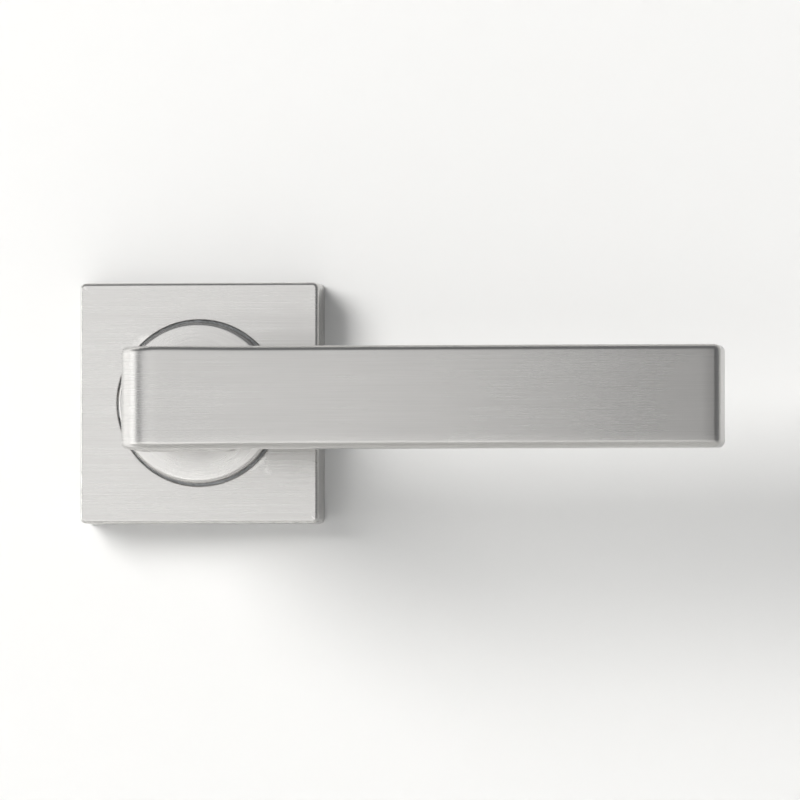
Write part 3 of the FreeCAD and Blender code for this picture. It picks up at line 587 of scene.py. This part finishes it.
def boltRings(x, tail, top):
    # From the foot of the key socket, over the head, down its 45 degree cone and out along the
    # thread, which grows out of the neck over its first turns.
    s = boltShape
    around, r, head = s["around"], s["radius"], s["headRadius"]
    hexagon, flat = hexRing(s["key"], around), np.ones(around)
    keyFoot, coneFoot = top - s["keyDepth"], top - s["headRim"] - (head - r)
    stations = [
        (hexagon * 0.3, keyFoot - s["keyPoint"]), (hexagon * 0.98, keyFoot),
        (hexagon, keyFoot + 0.05 * mm), (hexagon, top - 0.12 * mm), (hexagon * s["keyFlare"], top),
        (flat * (head - 0.35 * mm), top), (flat * (head - 0.1 * mm), top - 0.05 * mm),
        (flat * head, top - 0.15 * mm), (flat * head, top - s["headRim"]),
        (flat * (r + 0.02 * mm), coneFoot), (flat * s["neck"], coneFoot - 0.2 * mm),
        (flat * s["neck"], s["plainTo"] + 0.6 * mm), (flat * s["neck"], s["plainTo"] + 0.1 * mm),
    ]
    rises = np.arange(s["plainTo"], tail + 0.05 * mm, -s["pitch"] / s["perPitch"])
    thread = screwThread(rises, around, r, s["pitch"], s["threadDepth"])
    runIn = np.clip((s["plainTo"] - rises) / (s["runInTurns"] * s["pitch"]), 0, 1)[:, None]
    thread = s["neck"] + (thread - s["neck"]) * runIn
    thread = np.minimum(thread, (r - 0.55 * mm + np.clip(rises - tail, 0, s["bevel"]))[:, None])
    radii, heights = joinStations(stations, thread, rises, [(flat * (r - s["tipInset"]), tail)])
    return spunRings(radii, -heights, (x, 0, 0), (0, 1, 0), (1, 0, 0))


def makeBolts():
    # the same bolt on both sides of the spindle
    low, high = nodeBox("fixing_bolts")
    made = []
    reach = high[0] - boltShape["headRadius"]
    for name, x in (("bolt_near_tip", reach), ("bolt_far_from_tip", -reach)):
        bolt = ringSurface(name, boltRings(x, -high[1], -low[1]), sharp=50)
        made.append(place(bolt, "fixing_bolts", "rose", "zinc_plated_steel"))
    return made


grubShape = {
    "radius": 3.0 * mm, "rise": 24.0 * mm, "key": 3.0 * mm, "keyDepth": 2.5 * mm, "pitch": 1.0 * mm,
    "threadDepth": 0.55 * mm, "keyPoint": 0.3 * mm, "keyFlare": 1.07, "mouthInset": 0.55 * mm,
    "pointInsets": (0.6 * mm, 1.0 * mm, 2.0 * mm), "around": 48, "perPitch": 10,
}


def makeGrubScrew():
    # a headless screw under the neck: radii round an upright axis for key socket, thread and point
    s = grubShape
    low, high = nodeBox("grub_screw")
    bottom, top, r = low[2], high[2], s["radius"]
    hexagon, flat = hexRing(s["key"], s["around"]), np.ones(s["around"])
    rises = np.arange(bottom + 0.35 * mm, top - 0.5 * mm, s["pitch"] / s["perPitch"])
    thread = screwThread(rises, s["around"], r, s["pitch"], s["threadDepth"])
    keyFoot = bottom + s["keyDepth"]
    stations = [
        (hexagon * 0.3, keyFoot + s["keyPoint"]), (hexagon, keyFoot), (hexagon, bottom + 0.15 * mm),
        (hexagon * s["keyFlare"], bottom), (flat * (r - s["mouthInset"]), bottom),
    ]
    pointHeights = (top - 0.45 * mm, top, top)
    ends = [(flat * (r - inset), height) for inset, height in zip(s["pointInsets"], pointHeights)]
    radii, heights = joinStations(stations, thread, rises, ends)
    rings = spunRings(radii, heights, (0, -s["rise"], 0), (0, 0, 1), (1, 0, 0))
    screw = ringSurface("grub_screw_body", rings, sharp=50)
    return place(screw, "grub_screw", "lever", "black_oxide_steel")


springShape = {
    "meanRadius": 13.9 * mm, "rise": 5.525 * mm, "coil": 1.72 * mm, "wire": 0.275 * mm,
    "start": 126.95, "end": 37.55, "turns": 10, "closed": 2.38, "stepsPerTurn": 28, "around": 12,
}


def springRings(chamber):
    # A wire wound round an arc about the spindle. t counts turns: the first and the last turn are
    # closed, so they hardly advance, and the wire's section is carried square to the wire.
    s = springShape
    t = np.linspace(0, s["turns"] + 2, (s["turns"] + 2) * s["stepsPerTurn"] + 1)
    start, end = chamber + s["start"] - 90, chamber + s["end"] - 90
    knots = [0, 1, s["turns"] + 1, s["turns"] + 2]
    along = np.radians(np.interp(t, knots, [start, start - s["closed"], end + s["closed"], end]))
    wind = 2 * math.pi * t
    radial = np.stack([np.cos(along), np.zeros_like(t), np.sin(along)], 1)
    lift = np.array([0.0, -1.0, 0.0])
    axisPoint = radial * s["meanRadius"] + lift * s["rise"]
    out = radial * np.cos(wind)[:, None] + lift * np.sin(wind)[:, None]
    centre = axisPoint + out * s["coil"]
    run = np.gradient(centre, axis=0)
    run /= np.linalg.norm(run, axis=1)[:, None]
    side = np.cross(run, out)
    side /= np.linalg.norm(side, axis=1)[:, None]
    up = np.cross(side, run)
    turn = np.linspace(0, 2 * math.pi, s["around"], endpoint=False)[None, :, None]
    return centre[:, None] + s["wire"] * (np.cos(turn) * up[:, None] + np.sin(turn) * side[:, None])


def makeSprings():
    # one wound coil in each chamber, laid where the CAD spring was, which it hides
    made = []
    for name, chamber in (("return_spring_upper", 90), ("return_spring_lower", 270)):
        coil = ringSurface(name + "_coil", springRings(chamber), sharp=60)
        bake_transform(coil)
        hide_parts(name)
        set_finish(coil, "spring_steel")
        made.append(coil)
    return made


clipShape = {"chord": 11.0 * mm, "bow": 1.3 * mm, "strip": 0.4 * mm, "edge": 0.12 * mm}


def makeClips():
    # A strip of rounded section carried along a shallow arc, one above and one below. The arc's
    # radius comes from its chord and its bow.
    s = clipShape
    radius = (s["chord"] ** 2 / 4 + s["bow"] ** 2) / (2 * s["bow"])
    swing = math.asin(s["chord"] / 2 / radius)
    made = []
    for node, side in (("cover_clip_upper", 1), ("cover_clip_lower", -1)):
        low, high = nodeBox(node)
        crest = max(abs(low[2]), abs(high[2]))
        middle, half = (low[1] + high[1]) / 2, (high[1] - low[1]) / 2
        section = roundedRing(s["strip"] / 2, half, s["edge"])
        rings = []
        for angle in np.linspace(-swing, swing, 33):
            ringRadius = radius - s["strip"] / 2 + section[:, 0]
            x = ringRadius * math.sin(angle)
            z = side * (crest - radius + ringRadius * math.cos(angle))
            rings.append(np.stack([x, middle + section[:, 1], z], 1))
        clip = ringSurface(node + "_strip", np.array(rings))
        made.append(place(clip, node, "rose", "spring_steel"))
    return made


screwShape = {
    "radius": 1.25 * mm, "headRadius": 2.2 * mm, "headHeight": 0.9 * mm, "domeHeight": 0.35 * mm,
    "headEdge": 0.08 * mm, "slot": 0.5 * mm, "pitch": 0.45 * mm, "threadDepth": 0.25 * mm,
    "around": 32, "perPitch": 8, "blunt": 0.3 * mm,
}


def makePlateScrews():
    # Four small slotted screws, heads to the door. The head's radius and height follow the sine and
    # cosine of a quarter turn, then the thread runs to a blunt tip.
    s = screwShape
    low, high = nodeBox("plate_screws")
    reachX, reachZ = high[0] - s["headRadius"], high[2] - s["headRadius"]
    headBack, front = -high[1], -low[1]
    seat = headBack + s["headHeight"]
    flat = np.ones(s["around"])
    rises = np.arange(seat + 0.1 * mm, front - s["blunt"], s["pitch"] / s["perPitch"])
    thread = screwThread(rises, s["around"], s["radius"], s["pitch"], s["threadDepth"])
    dome = [(flat * s["headRadius"] * math.sin(turn), headBack + s["domeHeight"] * (1 - math.cos(turn)))
            for turn in np.linspace(0.15, math.pi / 2, 8)]
    stations = dome + [
        (flat * s["headRadius"], seat - s["headEdge"]), (flat * (s["headRadius"] - s["headEdge"]), seat),
    ]
    ends = [(flat * s["radius"] * 0.6, front), (flat * s["radius"] * 0.2, front)]
    radii, heights = joinStations(stations, thread, rises, ends)
    made = []
    for label, sideX, sideZ in (("a", 1, 1), ("b", -1, 1), ("c", -1, -1), ("d", 1, -1)):
        x, z = sideX * reachX, sideZ * reachZ
        rings = spunRings(radii, -heights, (x, 0, z), (0, 1, 0), (1, 0, 0))
        screw = ringSurface("plate_screw_" + label, rings, sharp=50)
        wide, thin, deep = 1.2 * s["headRadius"], s["slot"] / 2, headBack + s["headHeight"] / 2
        box = [[(x + a, y, z + b) for a, b in fourCorners(wide, thin)] for y in (-deep, mm)]
        cutWith(screw, ringSurface("slot", np.array(box)))
        made.append(place(screw, "plate_screws", "rose", "zinc_plated_steel"))
    return made


softShapes = {
    "rose_carrier": ("carrier_casting", "rose", "cast_alloy", 0.25 * mm),
    "spring_rotor": ("rotor_disc", "lever", "cast_alloy", 0.2 * mm),
    "retaining_plate": ("plate_pressing", "rose", "zinc_plated_steel", 0.12 * mm),
    "circlip": ("circlip_ring", "lever", "black_oxide_steel", 0.1 * mm),
    "stop_buffer_upper": ("buffer_upper_pad", "rose", "nylon", 0.2 * mm),
    "stop_buffer_lower": ("buffer_lower_pad", "rose", "nylon", 0.2 * mm),
}


def makeSoftCopies():
    made = []
    for node, (name, body, slot, width) in softShapes.items():
        piece = softCopy(node, name, width)
        boxMap(piece)
        made.append(place(piece, node, body, slot))
    return made


# Shader groups, which every finish places with its own numbers.


def newGroup(name, inputs, outputs):
    # an input with a number is a plain value and any other a vector; every output is a value
    group = bpy.data.node_groups.new(name, "ShaderNodeTree")
    for label, value in inputs.items():
        kind = "NodeSocketVector" if value is None else "NodeSocketFloat"
        socket = group.interface.new_socket(label, in_out="INPUT", socket_type=kind)
        if value is not None:
            socket.default_value = value
    for label in outputs:
        group.interface.new_socket(label, in_out="OUTPUT", socket_type="NodeSocketFloat")
    return group, group.nodes.new("NodeGroupInput"), group.nodes.new("NodeGroupOutput")


def feed(node, socket, value):
    node.id_data.links.new(value, node.inputs[socket])


def addNode(tree, kind, links=(), **values):
    # one node, its plain settings, and links given as (input name or number, output socket)
    node = tree.nodes.new(kind)
    for key, value in values.items():
        setattr(node, key, value)
    for key, source in links:
        if hasattr(source, "is_output"):
            feed(node, key, source)
        else:
            node.inputs[key].default_value = source
    return node


def mathNode(tree, operation, first, second, clamp=False):
    return addNode(tree, "ShaderNodeMath", [(0, first), (1, second)], operation=operation,
                   use_clamp=clamp).outputs[0]


def timesNode(tree, first, second):
    return addNode(tree, "ShaderNodeVectorMath", [(0, first), (1, second)], operation="MULTIPLY").outputs[0]


def weightedNode(tree, first, second, share):
    # the first times its share, plus the second times the rest
    return mathNode(tree, "ADD", mathNode(tree, "MULTIPLY", first, share),
                    mathNode(tree, "MULTIPLY", second, 1 - share))


noiseLook = {"roughness": 0.55, "middle": (0.3, 0.7)}


def noiseNode(tree, vector, scale, detail):
    return addNode(tree, "ShaderNodeTexNoise", [
        ("Vector", vector), ("Scale", scale), ("Detail", detail), ("Roughness", noiseLook["roughness"]),
    ]).outputs["Fac"]


def between(tree, value, low, high, fromLow, fromHigh):
    # the value's span from fromLow to fromHigh laid on the span from low to high, and held there
    return addNode(tree, "ShaderNodeMapRange", [
        ("Value", value), ("From Min", fromLow), ("From Max", fromHigh), ("To Min", low), ("To Max", high),
    ]).outputs[0]


brushLook = {"coarseShare": 0.55, "fineScale": 2.7, "drift": (0.35, 0.05, 1.0)}


def brushedGroup():
    # streaks: noise on the surface's map, divided by the line's length along the first column and
    # by its width along the second. Lines is a sum of coarse and fine streaks, Drift a slower one.
    inputs = {"Map": None, "Line Length": 20.0 * mm, "Line Width": 0.3 * mm}
    group, source, sink = newGroup("brushed lines", inputs, ["Lines", "Drift"])
    scale = addNode(group, "ShaderNodeCombineXYZ", [
        ("X", mathNode(group, "DIVIDE", 1.0, source.outputs["Line Length"])),
        ("Y", mathNode(group, "DIVIDE", 1.0, source.outputs["Line Width"])),
    ])
    stretched = timesNode(group, source.outputs["Map"], scale.outputs[0])
    coarse = noiseNode(group, stretched, 1.0, 2.0)
    fine = noiseNode(group, stretched, brushLook["fineScale"], 3.0)
    feed(sink, "Lines", weightedNode(group, coarse, fine, brushLook["coarseShare"]))
    slow = timesNode(group, stretched, brushLook["drift"])
    feed(sink, "Drift", noiseNode(group, slow, 1.0, 1.0))
    return group


wornLook = {"fullAfter": 0.05, "patch": (0.35, 0.65)}


def wornGroup():
    # edges: where the surface bends outwards, times a patchy noise
    inputs = {"Place": None, "Start": 0.52, "Patch Scale": 400.0}
    group, source, sink = newGroup("edge wear", inputs, ["Wear"])
    bent = addNode(group, "ShaderNodeNewGeometry").outputs["Pointiness"]
    full = mathNode(group, "ADD", source.outputs["Start"], wornLook["fullAfter"])
    rise = between(group, bent, 0.0, 1.0, source.outputs["Start"], full)
    patch = noiseNode(group, source.outputs["Place"], source.outputs["Patch Scale"], 4.0)
    patchy = between(group, patch, 0.0, 1.0, *wornLook["patch"])
    feed(sink, "Wear", mathNode(group, "MULTIPLY", rise, patchy, clamp=True))
    return group


cloudLook = {"speckScale": 14.0}


def cloudGroup():
    # handling marks and uneven colour: soft noise on the piece's own place, at two sizes
    group, source, sink = newGroup("soft clouds", {"Place": None, "Scale": 60.0}, ["Cloud", "Speck"])
    spot, scale = source.outputs["Place"], source.outputs["Scale"]
    feed(sink, "Cloud", noiseNode(group, spot, scale, 3.0))
    small = mathNode(group, "MULTIPLY", scale, cloudLook["speckScale"])
    feed(sink, "Speck", noiseNode(group, spot, small, 2.0))
    return group


groups = {"brushed": brushedGroup(), "worn": wornGroup(), "cloud": cloudGroup()}


def newFinish(name, metallic):
    finish = bpy.data.materials.new(name)
    finish.use_nodes = True
    shader = finish.node_tree.nodes["Principled BSDF"]
    shader.inputs["Metallic"].default_value = metallic
    return finish, finish.node_tree, shader


def finishMasks(tree, look):
    # the outputs of the shared groups that the look has numbers for, by name
    spot = addNode(tree, "ShaderNodeTexCoord").outputs
    wanted = {"cloud": [("Place", spot["Object"]), ("Scale", look["clouds"])]}
    if "wearFrom" in look:
        wanted["worn"] = [("Place", spot["Object"]), ("Start", look["wearFrom"])]
    if "lines" in look:
        length, width = look["lines"]
        wanted["brushed"] = [("Map", spot["UV"]), ("Line Length", length), ("Line Width", width)]
    masks = {}
    for name, links in wanted.items():
        masks.update(addNode(tree, "ShaderNodeGroup", links, node_tree=groups[name]).outputs.items())
    return masks


def mixColour(tree, share, first, second):
    # sockets 6 and 7 are the mix node's two colours
    ends = [(6, first), (7, second)]
    ends = [(key, end if hasattr(end, "is_output") else (*end, 1.0)) for key, end in ends]
    return addNode(tree, "ShaderNodeMix", [(0, share), *ends], data_type="RGBA").outputs[2]


def addBump(tree, shader, height, strength, distance):
    bump = addNode(tree, "ShaderNodeBump", [
        ("Height", height), ("Strength", strength), ("Distance", distance),
    ])
    feed(shader, "Normal", bump.outputs[0])


satinLook = {
    "bright": (0.61, 0.60, 0.585), "dull": (0.50, 0.49, 0.477), "worn": (0.70, 0.69, 0.67),
    "clouds": 45.0, "wearFrom": 0.53, "grain": (0.25, 0.75), "lineShare": 0.85, "rough": (0.25, 0.31),
    "cloudRough": (-0.012, 0.02, 0.35, 0.7), "wearRough": 0.06, "bump": (0.35, 0.03 * mm),
    # painted shade (a darker copy of the same steel where its face sits in dimmer light), brush line length
    # and width, stretch of the highlight across the lines
    "cover": (1.0, 30.0 * mm, 0.16 * mm, 0.45),
    # the lever's 0.84 is painted shade: the same satin steel made darker to stand in for the dimmer light on
    # its face
    "lever": (0.84, 30.0 * mm, 0.16 * mm, 0.45),
    "collar": (1.0, 12.0 * mm, 0.26 * mm, 0.5),
}


def satinFinish(where):
    # satin steel: brush lines shift tone and roughness a little; rubbed edges are brighter, smoother; each
    # copy's colours are scaled by its painted shade, darker on the lever
    look = satinLook
    paintedShade, lineLength, lineWidth, stretch = look[where]
    # the colours are scaled here by the painted shade, so the lever's copy is darker than the cover's, not a
    # different steel
    dull, bright, worn = (tuple(paintedShade * part for part in look[tone]) for tone in ("dull", "bright", "worn"))
    finish, tree, shader = newFinish("satin steel " + where, 1.0)
    shader.inputs["Anisotropic"].default_value = stretch
    tangent = addNode(tree, "ShaderNodeTangent", direction_type="UV_MAP", uv_map="surface")
    feed(shader, "Tangent", tangent.outputs[0])
    masks = finishMasks(tree, {**look, "lines": (lineLength, lineWidth)})
    grain = weightedNode(tree, masks["Lines"], masks["Drift"], look["lineShare"])
    colour = mixColour(tree, between(tree, grain, 0.0, 1.0, *look["grain"]), dull, bright)
    colour = mixColour(tree, masks["Wear"], colour, worn)
    feed(shader, "Base Color", colour)
    low, high = look["rough"]
    rough = between(tree, grain, high, low, *look["grain"])
    rough = mathNode(tree, "ADD", rough, between(tree, masks["Cloud"], *look["cloudRough"]))
    rubbed = mathNode(tree, "MULTIPLY", masks["Wear"], look["wearRough"])
    feed(shader, "Roughness", mathNode(tree, "SUBTRACT", rough, rubbed))
    addBump(tree, shader, masks["Lines"], *look["bump"])
    return finish


def mottledFinish(name, look):
    # The tone mask, stretched over its span, mixes two tones, and rubbed edges take a third.
    # Roughness is one mask or a sum of two, each laid between two values. One gives the fine height.
    finish, tree, shader = newFinish(name, look["metal"])
    for socket, value in look.get("plain", {}).items():
        shader.inputs[socket].default_value = value
    masks = finishMasks(tree, look)
    toneMask, *span = look["toneMask"]
    colour = mixColour(tree, between(tree, masks[toneMask], 0.0, 1.0, *span), *look["tones"])
    if "worn" in look:
        colour = mixColour(tree, masks["Wear"], colour, look["worn"])
    feed(shader, "Base Color", colour)
    parts = [between(tree, masks[mask], low, high, *noiseLook["middle"]) for mask, low, high in look["rough"]]
    feed(shader, "Roughness", parts[0] if len(parts) == 1 else mathNode(tree, "ADD", *parts))
    bumpMask, strength, distance = look["bump"]
    addBump(tree, shader, masks[bumpMask], strength, distance)
    return finish


# die-cast alloy: matt and slightly mottled, with a fine skin of pits
castLook = {
    "metal": 1.0, "clouds": 180.0, "wearFrom": 0.53,
    "toneMask": ("Cloud", 0.3, 0.7), "tones": [(0.47, 0.48, 0.49), (0.58, 0.59, 0.60)],
    "worn": (0.72, 0.73, 0.74), "rough": [("Speck", 0.42, 0.66)], "bump": ("Speck", 0.35, 0.08 * mm),
}

# bright zinc: a faint drift from blue to straw, with fine rolling lines
platedLook = {
    "metal": 1.0, "clouds": 120.0, "wearFrom": 0.53, "lines": (8.0 * mm, 0.2 * mm),
    "toneMask": ("Cloud", 0.35, 0.65), "tones": [(0.62, 0.66, 0.70), (0.70, 0.68, 0.62)],
    "worn": (0.78, 0.78, 0.78), "rough": [("Speck", 0.22, 0.36), ("Lines", -0.03, 0.05)],
    "bump": ("Lines", 0.15, 0.03 * mm),
}

# drawn wire: grey with darker drawing lines and a trace of oil
wireLook = {
    "metal": 1.0, "clouds": 260.0, "lines": (10.0 * mm, 0.12 * mm),
    "toneMask": ("Lines", 0.3, 0.7), "tones": [(0.16, 0.155, 0.15), (0.34, 0.335, 0.33)],
    "rough": [("Cloud", 0.2, 0.42)], "bump": ("Lines", 0.2, 0.02 * mm),
}

# black oxide: nearly black, browner and brighter where it is rubbed
oxideLook = {
    "metal": 0.85, "clouds": 300.0, "wearFrom": 0.53,
    "toneMask": ("Cloud", 0.0, 1.0), "tones": [(0.022, 0.022, 0.024), (0.06, 0.055, 0.05)],
    "worn": (0.20, 0.19, 0.18), "rough": [("Speck", 0.3, 0.52)], "bump": ("Speck", 0.2, 0.04 * mm),
}

# natural moulded nylon: off-white, slightly see-through, with a fine mould texture
nylonLook = {
    "metal": 0.0, "clouds": 220.0,
    "toneMask": ("Cloud", 0.0, 1.0), "tones": [(0.80, 0.78, 0.70), (0.87, 0.86, 0.80)],
    "rough": [("Speck", 0.38, 0.55)], "bump": ("Speck", 0.15, 0.04 * mm),
    "plain": {
        "Subsurface Weight": 0.15, "Subsurface Scale": 1.0,
        "Subsurface Radius": (2.0 * mm, 1.8 * mm, 1.4 * mm),
    },
}


def dress(piece, finish):
    piece.data.materials.clear()
    piece.data.materials.append(finish)


lever = makeLever()
cover = makeCover()
collar = makeCollar()
print("lever, cover and collar made")
bushes = makeBushes()
discSpring = makeDiscSpring()
spindle = makeSpindle()
bolts = makeBolts()
grubScrew = makeGrubScrew()
springs = makeSprings()
clips = makeClips()
plateScrews = makePlateScrews()
softPieces = makeSoftCopies()
print("fixings, springs and inner pieces made")

finishes = {
    "cast_alloy": mottledFinish("die cast alloy", castLook),
    "zinc_plated_steel": mottledFinish("bright zinc plate", platedLook),
    "spring_steel": mottledFinish("drawn spring steel", wireLook),
    "black_oxide_steel": mottledFinish("black oxide", oxideLook),
    "nylon": mottledFinish("natural nylon", nylonLook),
}
for piece, where in ((lever, "lever"), (cover, "cover"), (collar, "collar")):
    dress(piece, satinFinish(where))
for piece in (*bushes, discSpring, spindle, *bolts, grubScrew, *springs, *clips, *plateScrews, *softPieces):
    dress(piece, finishes[piece["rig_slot"]])
print("finishes placed")


stageLook = {
    "wallHalf": 0.9, "floorDrop": 0.42, "floorHalf": 3.0, "paint": (0.86, 0.86, 0.855), "rough": 0.55,
    "panelGap": 0.02 * mm, "holeInset": 0.3 * mm,
}


def plainPaint(name):
    # a soft-sheen paint on the front of a sheet, whose back lets light and sight through
    paint, tree, shader = newFinish(name, 0.0)
    shader.inputs["Roughness"].default_value = stageLook["rough"]
    shader.inputs["Base Color"].default_value = (*stageLook["paint"], 1.0)
    mix = addNode(tree, "ShaderNodeMixShader", [
        (0, addNode(tree, "ShaderNodeNewGeometry").outputs["Backfacing"]), (1, shader.outputs[0]),
        (2, addNode(tree, "ShaderNodeBsdfTransparent").outputs[0]),
    ])
    feed(tree.nodes["Material Output"], "Surface", mix.outputs[0])
    return paint


def plainSheet(name, corners, faces, paint):
    mesh = bpy.data.meshes.new(name)
    mesh.from_pydata(corners, [], faces)
    sheet = addObject(name, mesh)
    dress(sheet, plainPaint(paint))


def makeStage():
    # an upright panel at the door face, open behind the rose, and a floor well below the handle
    wide, drop, far = stageLook["wallHalf"], stageLook["floorDrop"], stageLook["floorHalf"]
    behind = stageLook["panelGap"]
    hole = nodeBox("rose_cover")[1][0] - stageLook["holeInset"]
    outer = [(-wide, behind, -drop), (wide, behind, -drop), (wide, behind, wide), (-wide, behind, wide)]
    inner = [(x, behind, z) for x, z in fourCorners(hole, hole)]
    sides = [(0, 1, 5, 4), (1, 2, 6, 5), (2, 3, 7, 6), (3, 0, 4, 7)]
    plainSheet("panel", outer + inner, sides, "pale panel")
    plainSheet("floor", [(x, y, -drop) for x, y in fourCorners(far, far)], [(0, 1, 2, 3)], "pale floor")


white, daylight = (1.0, 1.0, 1.0), (1.0, 0.99, 0.97)
windowFrame = ((-1.90, -2.40, 1.40), (0.03, 0.0, 0.0), 1.9, 1.9)

lightLook = {
    # place, aim, width, height, power, colour, seen by matt surfaces, seen by glossy surfaces
    "window": (*windowFrame, 116.0, daylight, True, False),
    "window sheen": (*windowFrame, 12.5, daylight, False, True),
    "front card": ((-0.25, -2.20, 0.0), (0.0, 0.0, 0.0), 2.0, 2.0, 2.9, white, False, True),
    "side card": ((-0.18, -0.38, 0.05), (-0.18, 0.0, 0.05), 0.46, 0.42, 0.58, white, False, True),
    "left card": ((-0.60, -0.14, 0.0), (0.0, -0.04, 0.0), 0.24, 0.5, 0.80, white, False, True),
    "wall card": ((-0.20, -0.004, 0.0), (-0.20, -1.0, 0.0), 0.28, 0.30, 0.20, white, False, True),
    "back fill": ((0.6, 1.8, 1.1), (0.03, 0.0, 0.0), 1.6, 1.6, 22.0, white, True, True),
}

# an even pale room that is dimmer straight in front of the panel
roomLook = {
    "front": (0.0, -1.0, 0.0), "spread": (0.70, 0.97), "frontShare": 0.3,
    "strength": 0.28, "colour": (0.95, 0.97, 1.0),
}


def makeLights():
    # rectangles of light, and a room whose brightness falls as the direction nears the front
    for name, (spot, aim, width, height, power, colour, onMatt, onGloss) in lightLook.items():
        data = bpy.data.lights.new(name, "AREA")
        data.shape, data.size, data.size_y = "RECTANGLE", width, height
        data.energy, data.color = power, colour
        lamp = addObject(name, data)
        lamp.location = spot
        lamp.rotation_euler = (Vector(aim) - Vector(spot)).to_track_quat("-Z", "Y").to_euler()
        lamp.visible_camera, lamp.visible_diffuse, lamp.visible_glossy = False, onMatt, onGloss
    world = bpy.data.worlds.new("room")
    world.use_nodes = True
    tree = world.node_tree
    toward = addNode(tree, "ShaderNodeVectorMath", [
        (0, addNode(tree, "ShaderNodeTexCoord").outputs["Generated"]), (1, roomLook["front"]),
    ], operation="DOT_PRODUCT").outputs["Value"]
    dim = between(tree, toward, 1.0, roomLook["frontShare"], *roomLook["spread"])
    background = tree.nodes["Background"]
    feed(background, "Strength", mathNode(tree, "MULTIPLY", dim, roomLook["strength"]))
    background.inputs["Color"].default_value = (*roomLook["colour"], 1.0)
    bpy.context.scene.world = world


cameraLook = {"direction": (0.132, -1.0, -0.027), "distance": 3.0, "across": 0.165}


def makeCamera(target):
    # a long lens level with the handle, a little to the tip's side and a little below
    data = bpy.data.cameras.new("camera")
    data.sensor_width = 36.0
    data.lens = data.sensor_width * cameraLook["distance"] / cameraLook["across"]
    data.clip_start, data.clip_end = 0.05, 50.0
    camera = addObject("camera", data)
    back = Vector(cameraLook["direction"]).normalized()
    camera.location = target + back * cameraLook["distance"]
    camera.rotation_euler = (-back).to_track_quat("-Z", "Y").to_euler()
    bpy.context.scene.camera = camera


low, high = cadBox
target = Vector(((low.x + high.x) / 2, low.y / 2, (low.z + high.z) / 2))
makeStage()
makeLights()
makeCamera(target)
bpy.context.scene.view_settings.view_transform = "Standard"
print("stage, lights and camera set")
